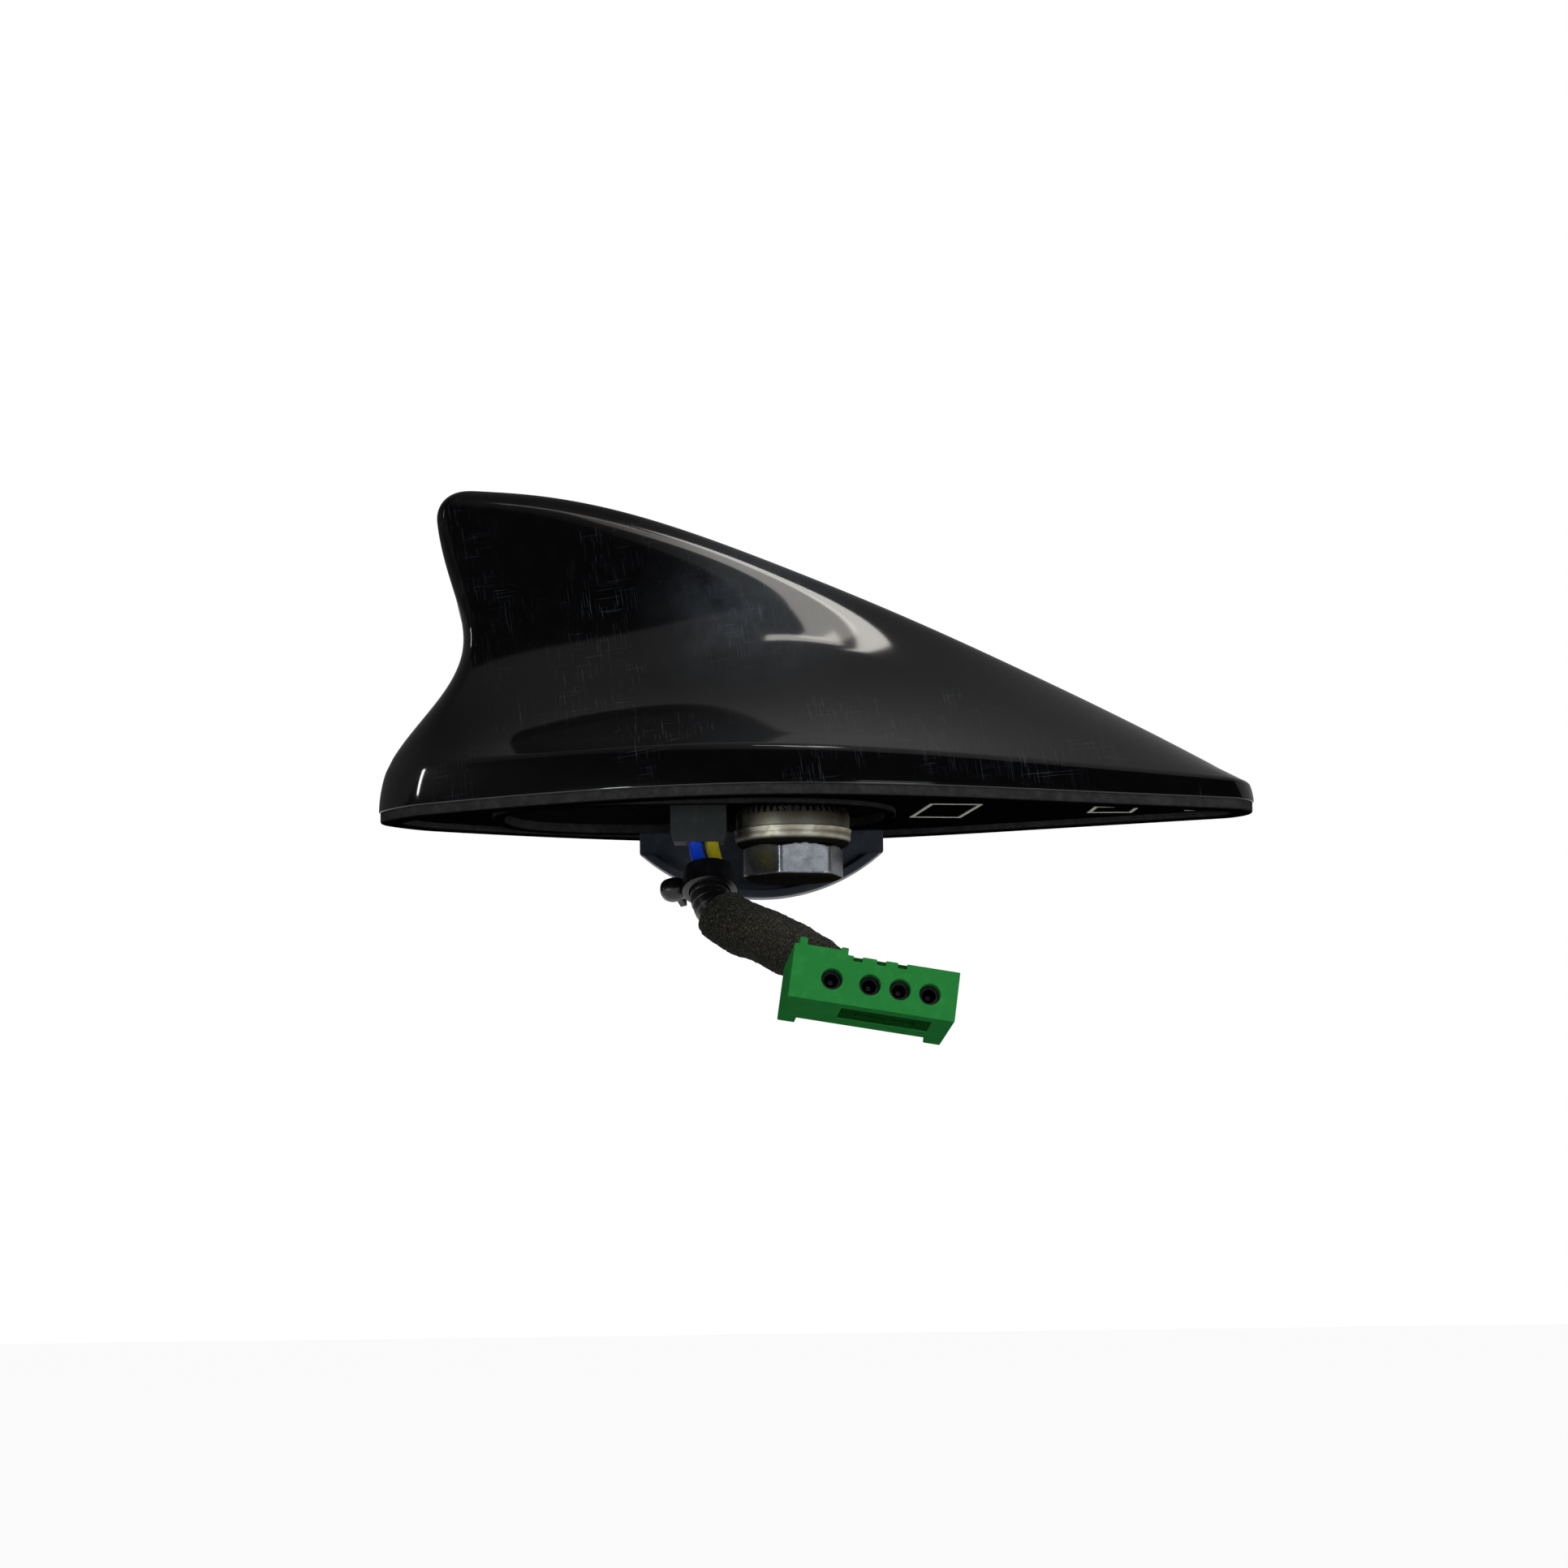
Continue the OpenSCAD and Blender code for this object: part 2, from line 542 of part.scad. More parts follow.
// Retainer: a half-moon wall with a rim, on two legs that plug into the plate
retainer_x = -6;
retainer_y = 9;
retainer_low = -13.8;
retainer_high = -0.6;
module half_moon(g) intersection() {
    translate([retainer_x, retainer_low + retainer_r]) circle(r = retainer_r - g, $fn = 128);
    translate([retainer_x - retainer_l / 2 + g, retainer_low - 1])
        square([retainer_l - 2 * g, retainer_high - retainer_low + 1]);
}
module retainer() {
    color([0.05, 0.05, 0.06]) {
        difference() {
            translate([0, retainer_y + retainer_w, 0]) rotate([90, 0, 0]) linear_extrude(retainer_w) half_moon(0);
            translate([0, retainer_y + retainer_w - retainer_t, 0]) rotate([90, 0, 0])
                linear_extrude(retainer_w) half_moon(retainer_t);
            translate([retainer_x - retainer_l, retainer_y - 1, retainer_high - retainer_t - 3])
                cube([2 * retainer_l, retainer_w + 1 - retainer_t, 10]);
        }
        at_each(peg_at) {
            translate([-3, -retainer_t / 2 - 0.3, retainer_high - 1])
                cube([6, retainer_t + 0.6, seal_t - retainer_high + 1]);
            translate([0, 0, seal_t - 1]) cylinder(d = peg_d, h = plate_t + 0.6, $fn = 24);
        }
    }
}

// Outlet block: bevelled below, flanged above the plate, with one bore for each lead
lead_at = [[-1, -1], [1, -1], [-1, 1], [1, 1]];
module cable_outlet() {
    bevel = 0.6;
    module bevelled(half, cut) polygon([[-half, top], [-half, low + 1.8], [-half + cut, low],
        [half - cut, low], [half, low + 1.8], [half, top]]);
    top = plate_top + 1.8;
    low = -outlet_drop;
    hl = outlet_l / 2;
    hw = outlet_w / 2;
    color([0.3, 0.31, 0.32]) translate([outlet_x, outlet_y, 0]) difference() {
        union() {
            intersection() {
                translate([0, 20, 0]) rotate([90, 0, 0]) linear_extrude(40) bevelled(hl, bevel);
                translate([-20, 0, 0]) rotate([90, 0, 90]) linear_extrude(40) bevelled(hw, bevel / 2);
            }
            translate([-hl - 1.2, -hw - 1.2, plate_top])
                cube([outlet_l + 2.4, outlet_w + 2.4, top - plate_top]);
        }
        for (p = lead_at) translate([lead_shift + p[0] * coax_pitch / 2, p[1] * coax_pitch / 2, low - 1])
            cylinder(d = coax_d + lead_slip, h = 40, $fn = 24);
    }
}

// Route of the middle of the four leads, from the board down and out to the connector
lead_x = outlet_x + lead_shift;
bundle = [for (z = [8, 3, -1, -5]) [lead_x, outlet_y, z],
    each [[-16.55, -5.1, -7.2], [-15.8, -6.4, -9.8], [-15.6, -8, -12.8], [-15.7, -9.6, -15.8],
        [-14.2, -11.6, -18.8], [-10.8, -14.6, -21.2], [-5.8, -19.4, -23.5], [-0.5, -27, -26.9],
        [4.2, -34.2, -30.2], [8, -40, -35.4]]];
lead_sides = 8;
lead_rings = 23;
foam_d = 10.6;
foam_bore = 7.8;
foam_sides = 12;
foam_rings = 10;
foam_from = 8;
foam_to = 12.2;

function unit(v) = v / norm(v);
function route(p, s) = [for (k = [0:2]) spline([for (q = p) q[k]], s)];
function heading(p, s) = unit(route(p, s + 0.05) - route(p, s - 0.05));
// Two directions across the route: one near +X, one near -Y
function across(d) = let(w = unit(cross(d, [1, 0, 0]))) [cross(w, d), w];
function hoop(p, s, r, n) = let(c = route(p, s), e = across(heading(p, s)))
    [for (i = [0:n - 1]) c + r * (cos(360 * i / n) * e[0] + sin(360 * i / n) * e[1])];
function skin(rings, n, m) = [for (j = [0:rings - 2], i = [0:n - 1]) let(k = (i + 1) % n)
    let(p = m + j * n + i, q = m + j * n + k) each [[p, q, q + n], [p, q + n, p + n]]];
module tube(p, r, n, rings) {
    last = len(p) - 1;
    polyhedron(points = [for (j = [0:rings - 1]) each hoop(p, last * j / (rings - 1), r, n)],
        faces = concat(skin(rings, n, 0), [[for (i = [n - 1:-1:0]) i]],
            [[for (i = [0:n - 1]) (rings - 1) * n + i]]));
}

// Each lead keeps its corner of the bundle, then turns to its own port
conn_at = [13, -66, -36.1];
conn_turn = [-11, 9.3, 5];
port_x = [-7.2, -0.7, 4.4, 9.5];
port_z = -0.25;
lead_socket = 3;
function turn(v) =
    let(a = [v[0], v[1] * cos(conn_turn[0]) - v[2] * sin(conn_turn[0]),
            v[1] * sin(conn_turn[0]) + v[2] * cos(conn_turn[0])],
        b = [a[0] * cos(conn_turn[1]) + a[2] * sin(conn_turn[1]), a[1],
            a[2] * cos(conn_turn[1]) - a[0] * sin(conn_turn[1])])
    [b[0] * cos(conn_turn[2]) - b[1] * sin(conn_turn[2]), b[0] * sin(conn_turn[2]) + b[1] * cos(conn_turn[2]), b[2]];
function in_conn(v) = conn_at + turn(v);
function lead_route(k, port) = concat(
    [for (i = [0:len(bundle) - 1]) let(e = across(heading(bundle, i)), c = lead_at[k] * coax_pitch / 2)
        bundle[i] + c[0] * e[0] - c[1] * e[1]],
    [in_conn([port_x[port] * 0.7, conn_d + 5, port_z - 1.3 * lead_at[k][1]])],
    [for (y = [2.4, 0.4, -lead_socket]) in_conn([port_x[port], conn_d + y, port_z])]);
module lead(k, port) tube(lead_route(k, port), coax_d / 2, lead_sides, lead_rings);
module coax_blue() color([0.1, 0.3, 0.85]) lead(0, 0);
module coax_yellow() color([0.85, 0.75, 0.1]) lead(1, 2);
module coax_black_a() color([0.06, 0.06, 0.07]) lead(2, 1);
module coax_black_b() color([0.06, 0.06, 0.07]) lead(3, 3);

// Foam round the leads: a thick tube with an open channel
module foam_wrap() {
    n = foam_sides;
    function row(r) = [for (j = [0:foam_rings - 1])
        each hoop(bundle, foam_from + (foam_to - foam_from) * j / (foam_rings - 1), r, n)];
    m = foam_rings * n;
    color([0.27, 0.26, 0.25]) polyhedron(
        points = concat(row(foam_d / 2), row(foam_bore / 2)),
        faces = concat(skin(foam_rings, n, 0), [for (f = skin(foam_rings, n, m)) [f[2], f[1], f[0]]],
            [for (i = [0:n - 1]) let(k = (i + 1) % n) each [[i, m + i, m + k, k],
                [m - n + k, 2 * m - n + k, 2 * m - n + i, m - n + i]]]));
}

// Tie round the leads above the foam, with its rounded head to the left and its tail cut short
tie_s = 5.9;
tie_t = 1.3;
tie_w = 4.6;
tie_head_turn = 290;
module cable_tie() {
    r = foam_bore / 2;
    d = heading(bundle, tie_s);
    color([0.04, 0.04, 0.045]) translate(route(bundle, tie_s)) rotate([0, acos(d[2]), atan2(d[1], d[0])])
        rotate([0, 0, tie_head_turn]) {
            rotate_extrude($fn = 64) translate([r, -tie_w / 2]) square([tie_t, tie_w]);
            translate([r + 0.6, 0, 0]) intersection() {
                translate([0, -2.6, -tie_w / 2]) cube([5.4, 5.2, tie_w]);
                translate([2.2, 0, 0]) rotate([0, 90, 90]) cylinder(d = 6.2, h = 8, center = true, $fn = 40);
            }
            translate([r + 1.6, 1.6, -tie_w / 2 + 0.5]) cube([tie_t, 2.4, tie_w - 1]);
        }
}

module connector_housing() {
    w = conn_w / 2;
    h = conn_h / 2;
    color([0.1, 0.5, 0.24]) translate(conn_at) rotate(conn_turn) difference() {
        union() {
            translate([-w, 0, -h]) cube([conn_w, conn_d, conn_h]);
            translate([-w, 0, h - 0.2]) cube([9, conn_d, 0.9]);
            translate([-w + 0.8, 0, h]) cube([1.4, conn_d, 1.9]);
            translate([-w + 8, 0, h - 0.2]) cube([1.2, conn_d, 1.4]);
        }
        for (x = port_x) {
            translate([x, 0, port_z]) rotate([-90, 0, 0]) translate([0, 0, -1])
                cylinder(d = port_d, h = port_depth + 1, $fn = 40);
            translate([x, conn_d + 1, port_z]) rotate([90, 0, 0])
                cylinder(d = coax_d + 2 * lead_slip, h = conn_d - port_depth, $fn = 32);
        }
        for (x = [-4, 0, 3.6]) translate([x, -1, h - 0.9]) cube([1.5, conn_d * 0.6, 2]);
        translate([-w + 3, conn_d - 3.2, -h - 1]) cube([conn_w - 6, 5, 2.2]);
        translate([-w + 9.5, 2.5, -h - 1]) cube([conn_w - 13, 6.4, 2.3]);
    }
}

module connector_lock() {
    w = conn_w / 2;
    h = conn_h / 2;
    color([0.35, 0.7, 0.45]) translate(conn_at) rotate(conn_turn) difference() {
        translate([-w + 9.6, 2.6, -h + 0.1]) cube([conn_w - 13.2, 6.2, 1.1]);
        translate([-w + 12, 4.6, -h - 1]) cube([conn_w - 18, 2, 1.6]);
    }
}

module connector_contacts() {
    color([0.05, 0.05, 0.06]) translate(conn_at) rotate(conn_turn) for (x = port_x)
        translate([x, 0, port_z]) rotate([-90, 0, 0]) {
            translate([0, 0, 1.2]) difference() {
                cylinder(d = port_d - slip, h = port_depth - 1.2, $fn = 40);
                translate([0, 0, -1]) cylinder(d = port_d - 1.2, h = port_depth - 2, $fn = 32);
            }
            translate([0, 0, 2.6]) cylinder(d = 0.9, h = port_depth - 3.4, $fn = 24);
        }
}

// Three bare marks on the seal's web: place, turn and size
label_t = 0.12;
module label(x, y, l, w, a) color([0.75, 0.75, 0.73])
    translate([x, y, seal_t - seal_web - label_t]) rotate([0, 0, a]) translate([-l / 2, -w / 2, 0])
        difference() {
            cube([l, w, label_t]);
            translate([0.7, 0.7, -1]) cube([l - 1.4, w - 1.4, 2]);
        }
module label_a() label(cover_nose - 58.2, -1.3, 10, 20, 9);
module label_b() label(cover_nose - 26.5, 0, 8.6, 9, 4);
module label_c() label(cover_nose - 9.5, 0, 6.4, 5.4, 4);

cover();
base_seal();
base_plate();
cover_gasket();
cover_screws();
main_board();
board_screws();
shield_can();
gnss_patch();
gnss_electrode();
gnss_pin();
fin_board();
fin_bracket();
top_load();
lte_front();
lte_rear();
foam_spacer();
fixing_bolt();
earthing_collar();
retainer();
cable_outlet();
coax_blue();
coax_yellow();
coax_black_a();
coax_black_b();
cable_tie();
foam_wrap();
connector_housing();
connector_lock();
connector_contacts();
label_a();
label_b();
label_c();
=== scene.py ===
"""Shark fin roof aerial: gloss black cover, rubber seal, toothed collar, bolt and four-way lead."""
import math

import bmesh
import bpy
import numpy as np
from mathutils import Euler, Matrix, Vector, noise


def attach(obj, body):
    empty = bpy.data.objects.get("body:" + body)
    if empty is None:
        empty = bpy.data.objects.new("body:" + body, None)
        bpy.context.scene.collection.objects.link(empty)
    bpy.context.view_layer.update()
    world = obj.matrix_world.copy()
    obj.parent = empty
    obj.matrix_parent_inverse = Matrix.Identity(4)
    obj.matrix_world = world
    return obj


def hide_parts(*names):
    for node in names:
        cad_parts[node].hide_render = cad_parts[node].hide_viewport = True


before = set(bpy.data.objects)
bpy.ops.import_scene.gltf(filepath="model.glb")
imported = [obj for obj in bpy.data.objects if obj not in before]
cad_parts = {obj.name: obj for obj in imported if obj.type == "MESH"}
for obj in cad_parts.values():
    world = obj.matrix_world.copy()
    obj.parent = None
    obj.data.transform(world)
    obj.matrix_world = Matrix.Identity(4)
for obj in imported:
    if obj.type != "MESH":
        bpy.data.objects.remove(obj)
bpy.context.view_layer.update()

# Lengths below are in millimetres, and MM turns them into Blender's metres
MM = 0.001
BODY = "root"

# Camera, as fitted to the photograph
PHOTO_PX = 1932
FOCAL_PX = 4110.75
SENSOR = 36.0
AZIMUTH, ELEVATION, ROLL = -0.155, -7.661, 0.729
AIM = Vector((-1.56, 0.0, 6.786))
DISTANCE = 630.0


def place_camera():
    """The photograph's camera, which looks up at the aerial from a little below it."""
    azimuth, elevation, roll = (math.radians(a) for a in (AZIMUTH, ELEVATION, ROLL))
    back = Vector((math.sin(azimuth) * math.cos(elevation),
                   -math.cos(azimuth) * math.cos(elevation), math.sin(elevation)))
    right = (-back).cross(Vector((0, 0, 1))).normalized()
    up = right.cross(-back)
    rolled = Matrix((math.cos(roll) * right - math.sin(roll) * up,
                     math.sin(roll) * right + math.cos(roll) * up, back)).transposed()
    camera = bpy.data.objects.new("camera", bpy.data.cameras.new("camera"))
    bpy.context.scene.collection.objects.link(camera)
    camera.data.sensor_width = SENSOR
    camera.data.lens = FOCAL_PX / PHOTO_PX * SENSOR
    camera.data.clip_start = 0.01
    camera.matrix_world = Matrix.Translation((AIM + DISTANCE * back) * MM) @ rolled.to_4x4()
    bpy.context.scene.camera = camera


place_camera()


# Shader maths and materials

class Wire:
    """The value on a socket. An expression on wires adds the Math nodes that it needs."""

    def __init__(self, nodes, socket):
        self.nodes = nodes
        self.socket = socket

    def maths(self, operation, first, second):
        return self.nodes.node("ShaderNodeMath", {"operation": operation}, [first, second])

    def __add__(self, other):
        return self.maths("ADD", self, other)

    def __sub__(self, other):
        return self.maths("SUBTRACT", self, other)

    def __rsub__(self, other):
        return self.maths("SUBTRACT", other, self)

    def __mul__(self, other):
        return self.maths("MULTIPLY", self, other)

    __radd__ = __add__
    __rmul__ = __mul__


def linear(value):
    """One channel of a screen's colour, 0 to 255, as linear light."""
    value /= 255
    return value / 12.92 if value <= 0.04045 else ((value + 0.055) / 1.055) ** 2.4


def rgb(red, green, blue):
    """A colour as a screen shows it, turned into the shader's linear one."""
    return (linear(red), linear(green), linear(blue), 1.0)


class Nodes:
    """Adds nodes to a tree and joins them."""

    def __init__(self, tree):
        self.tree = tree

    def node(self, kind, settings=None, inputs=None, outlet=0):
        """Adds a node: its settings first, then the values or wires of its sockets."""
        node = self.tree.nodes.new(kind)
        for key, value in (settings or {}).items():
            if key == "stops":
                self.set_stops(node.color_ramp, value)
            else:
                setattr(node, key, value)
        pairs = inputs.items() if isinstance(inputs, dict) else enumerate(inputs or [])
        for key, value in pairs:
            self.join(node.inputs[key], value)
        return Wire(self, node.outputs[outlet])

    def set_stops(self, ramp, stops):
        while len(ramp.elements) > 1:
            ramp.elements.remove(ramp.elements[-1])
        ramp.elements[0].position = stops[0][0]
        ramp.elements[0].color = stops[0][1]
        for place, colour in stops[1:]:
            ramp.elements.new(place).color = colour

    def join(self, socket, value):
        if isinstance(value, Wire):
            self.tree.links.new(value.socket, socket)
        else:
            socket.default_value = value

    def ramp(self, value, *stops):
        """A ramp over value: each stop is a place and a grey or a colour."""
        full = [(p, c if isinstance(c, tuple) else (c, c, c, 1.0)) for p, c in stops]
        return self.node("ShaderNodeValToRGB", {"stops": full}, [value])

    def mix(self, factor, first, second):
        return self.node("ShaderNodeMix", {"data_type": "RGBA"}, {0: factor, 6: first, 7: second}, 2)


class Finish(Nodes):
    """One material. Its nodes read the place on the piece in millimetres."""

    def __init__(self, name, **sockets):
        self.material = bpy.data.materials.new(name)
        self.material.use_nodes = True
        super().__init__(self.material.node_tree)
        self.shader = self.tree.nodes["Principled BSDF"]
        metres = self.node("ShaderNodeTexCoord", outlet="Object")
        scaled = {0: metres, "Scale": 1 / MM}
        self.place = self.node("ShaderNodeVectorMath", {"operation": "SCALE"}, scaled)
        self.set(sockets)

    def set(self, sockets):
        for key, value in sockets.items():
            self.join(self.shader.inputs[key], value)
        return self

    def noise(self, scale, detail=2.0, place=None, rough=0.5):
        inputs = {"Vector": place or self.place, "Scale": scale, "Detail": detail, "Roughness": rough}
        return self.node("ShaderNodeTexNoise", None, inputs)

    def cells(self, scale, feature="F1"):
        inputs = {"Vector": self.place, "Scale": scale}
        return self.node("ShaderNodeTexVoronoi", {"feature": feature}, inputs)

    def along(self, axis, low, high):
        """How far the place lies from low to high along an axis: 0 to 1, eased at both ends."""
        parts = self.node("ShaderNodeSeparateXYZ", None, [self.place]).socket.node
        inputs = {"Value": Wire(self, parts.outputs[axis]), "From Min": low, "From Max": high}
        return self.node("ShaderNodeMapRange", {"interpolation_type": "SMOOTHSTEP"}, inputs)

    def near(self, centre, reach):
        """1 close to a point, falling to 0 at its reach."""
        ends = [self.place, centre]
        away = self.node("ShaderNodeVectorMath", {"operation": "DISTANCE"}, ends, "Value")
        return self.ramp(away * (1 / reach), (0.0, 1.0), (0.4, 0.62), (0.75, 0.14), (1.0, 0.0))

    def turned(self, angles, scale):
        """The place turned by angles in degrees and then stretched along its axes."""
        turns = [math.radians(a) for a in angles]
        spun = self.node("ShaderNodeMapping", None, {"Vector": self.place, "Rotation": turns})
        return self.node("ShaderNodeMapping", None, {"Vector": spun, "Scale": scale})

    def bump(self, height, depth, strength=1.0, under=None):
        """A normal from height, which is depth millimetres at 1. It can lie over another bump."""
        inputs = {"Height": height, "Distance": depth * MM, "Strength": strength}
        if under:
            inputs["Normal"] = under
        return self.node("ShaderNodeBump", None, inputs)

    def scratches(self, angle, spread, length, width, share):
        """Straight hairlines across the piece's side, at an angle to the roof: 1 on a scratch."""
        place = self.turned((0, angle, 0), (1 / length, spread, 1 / width))
        return self.ramp(self.noise(1.0, 1.0, place), (1 - share, 0.0), (1 - share + 0.02, 1.0))


RUBBED_AT = (-7, -5, 39)
RUBBED_REACH = 23
TIP_ALONG = (-10, -36)
TIP_UP = (40, 46)


def worn_gloss(name, colour, bare, grain):
    """Polished black moulding with fine scratches, wiped dust, a rubbed shoulder and a duller tip."""
    f = Finish(name, **{"Specular IOR Level": 0.05, "Coat Roughness": 0.075})
    patches = f.ramp(f.noise(0.16, 5.0, rough=0.65), (0.3, 0.35), (0.68, 1.0))
    rubbed = f.near(RUBBED_AT, RUBBED_REACH) * patches
    swirls = f.scratches(24, 0.02, 8.0, 0.04, 0.32) + f.scratches(-68, 0.02, 7.0, 0.04, 0.32)
    deep = f.scratches(8, 0.02, 11.0, 0.05, 0.27) + f.scratches(98, 0.02, 7.0, 0.05, 0.3)
    deep = deep * (f.ramp(f.noise(0.055, 2.0), (0.5, 0.0), (0.62, 1.0)) + rubbed)
    specks = f.ramp(f.cells(0.9), (0.0, 1.0), (0.05, 0.0))
    dust = f.ramp(f.noise(0.35, 4.0), (0.45, 0.0), (0.75, 1.0))
    tip = f.along("X", *TIP_ALONG) * f.along("Z", *TIP_UP)
    wave = f.bump(f.noise(grain, 1.0), 0.008, 0.5, f.bump(swirls + deep, -0.0016))
    f.set({"Base Color": f.mix(deep * 0.45 + specks * 0.1 + dust * 0.004 + rubbed * 0.2, colour, bare),
           "Roughness": 0.4 + swirls * 0.06 + deep * 0.2,
           "Coat Weight": 1.0 - tip * 0.8 - swirls * 0.12 - deep * 0.35,
           "Normal": wave})
    return f


def rubber(name, colour, dusty, under=None):
    """Matt rubber: chalky dust over a fine pitted skin, and a dark colour as painted shade where it faces
    down.
    """
    f = Finish(name, **{"Specular IOR Level": 0.0})
    chalk = f.ramp(f.noise(0.5, 5.0, rough=0.7), (0.42, 0.0), (0.7, 1.0))
    pits = f.cells(6.0)
    skin = f.mix(chalk * 0.5 + f.noise(8.0) * 0.2, colour, dusty)
    # Painted shade: faces turned down take the dark colour under in place of the dusty skin
    if under:
        facing = f.node("ShaderNodeTexCoord", outlet="Normal")
        parts = f.node("ShaderNodeSeparateXYZ", None, [facing]).socket.node
        skin = f.mix(f.ramp(Wire(f, parts.outputs["Z"]) + 1.0, (0.1, 0.0), (0.7, 1.0)), under, skin)
    f.set({"Base Color": skin,
           "Roughness": 0.62 + chalk * 0.2,
           "Normal": f.bump(pits, 0.02, 0.6, f.bump(f.noise(2.2, 4.0), 0.03, 0.6))})
    return f


def moulding(name, colour, worn, rough, texture=3.5, sheen=0.45):
    """Moulded plastic: a fine even texture, flow marks and paler rubbed spots."""
    f = Finish(name, **{"Specular IOR Level": sheen})
    rubbed = f.ramp(f.noise(0.4, 4.0, rough=0.65), (0.5, 0.0), (0.72, 1.0))
    flow = f.noise(1.0, 2.0, f.turned((0, 20, 15), (0.1, 0.8, 0.8)))
    f.set({"Base Color": f.mix(rubbed * 0.5 + flow * 0.2, colour, worn),
           "Roughness": rough + rubbed * 0.12 + flow * 0.06,
           "Normal": f.bump(f.noise(texture, 3.0), 0.012, 0.5)})
    return f


# Painted shade: the dark matt colour on the bolt head's underside and on the collar's foot
LOW_END_SHADE = rgb(22, 21, 18)


def plated(name, colour, stained, rough, crystals, shaded_below=None):
    """Plated metal: crystals, fine grain and stains, with painted shade at its lower end that ends between
    two heights.
    """
    f = Finish(name, **{"Specular IOR Level": 0.0})
    grain = f.cells(crystals)
    stains = f.ramp(f.noise(0.45, 4.0, rough=0.6), (0.4, 0.0), (0.68, 1.0))
    fine = f.noise(crystals * 2.2, 3.0)
    skin = f.mix(stains * 0.6 + grain * 0.3, colour, stained)
    # Painted shade: below the lower height the colour turns dark and stops being metal, fading out by the
    # higher
    unshaded = f.along("Z", *shaded_below) if shaded_below else 1.0
    if shaded_below:
        skin = f.mix(unshaded, LOW_END_SHADE, skin)
    f.set({"Base Color": skin,
           "Metallic": unshaded,
           "Roughness": rough + stains * 0.1 + fine * 0.08,
           "Normal": f.bump(grain, 0.012, 0.5, f.bump(fine, 0.003, 0.4))})
    return f


def jacket(name, colour, shade):
    """Lead jacket: smooth PVC with a slow sheen change and light scuffs."""
    f = Finish(name, **{"Specular IOR Level": 0.5})
    scuffs = f.ramp(f.noise(1.6, 4.0, rough=0.7), (0.5, 0.0), (0.75, 1.0))
    f.set({"Base Color": f.mix(scuffs * 0.4, colour, shade),
           "Roughness": 0.32 + scuffs * 0.2,
           "Normal": f.bump(f.noise(1.2, 3.0), 0.02, 0.4)})
    return f


def felted_foam():
    """Open foam cloth: pits darkened as painted shade, between pale fibre ends."""
    fixed = {"Specular IOR Level": 0.0, "Sheen Weight": 0.08, "Sheen Roughness": 0.5}
    f = Finish("felted_foam", **fixed)
    pores = f.ramp(f.cells(2.6), (0.1, 0.0), (0.75, 1.0))
    flecks = f.ramp(f.noise(2.6, 3.0, rough=0.85), (0.52, 0.0), (0.66, 1.0))
    worn = f.noise(0.25, 3.0)
    # Painted shade: the colour is darkest at the bottom of the pits
    ground_with_pit_shade = f.mix(pores, rgb(4, 4, 3), rgb(24, 24, 19))
    f.set({"Base Color": f.mix(flecks * worn, ground_with_pit_shade, rgb(128, 124, 104)),
           "Roughness": 0.92,
           "Normal": f.bump(flecks, 0.12, 0.8, f.bump(pores, 0.2, 0.8))})
    return f


def etched_board(name, mask, copper):
    """Printed board: solder mask over tracks, with bright pads where it is bare."""
    f = Finish(name, **{"Specular IOR Level": 0.5})
    tracks = f.ramp(f.cells(0.35, "DISTANCE_TO_EDGE"), (0.02, 1.0), (0.06, 0.0))
    pads = f.ramp(f.cells(0.55), (0.12, 1.0), (0.16, 0.0))
    f.set({"Base Color": f.mix(pads, f.mix(tracks * 0.6, mask, copper), rgb(205, 196, 170)),
           "Metallic": pads * 0.9,
           "Roughness": 0.42 - pads * 0.12 + f.noise(2.0) * 0.1,
           "Normal": f.bump(tracks + pads, 0.03, 0.5)})
    return f


def marked(name, colour):
    """Pale printed outline, slightly rubbed away."""
    f = Finish(name, **{"Specular IOR Level": 0.3})
    gaps = f.ramp(f.noise(2.6, 4.0), (0.5, 0.0), (0.7, 1.0))
    f.set({"Base Color": f.mix(gaps * 0.6, colour, rgb(70, 70, 62)),
           "Roughness": 0.6 + gaps * 0.2})
    return f


# The heights at which the painted shade on the underside of the bolt's head and on the collar's foot gives
# way to the metal
HEAD_SHADE_HEIGHTS = (-11.1, -10.6)
COLLAR_SHADE_HEIGHTS = (-4.7, -3.9)

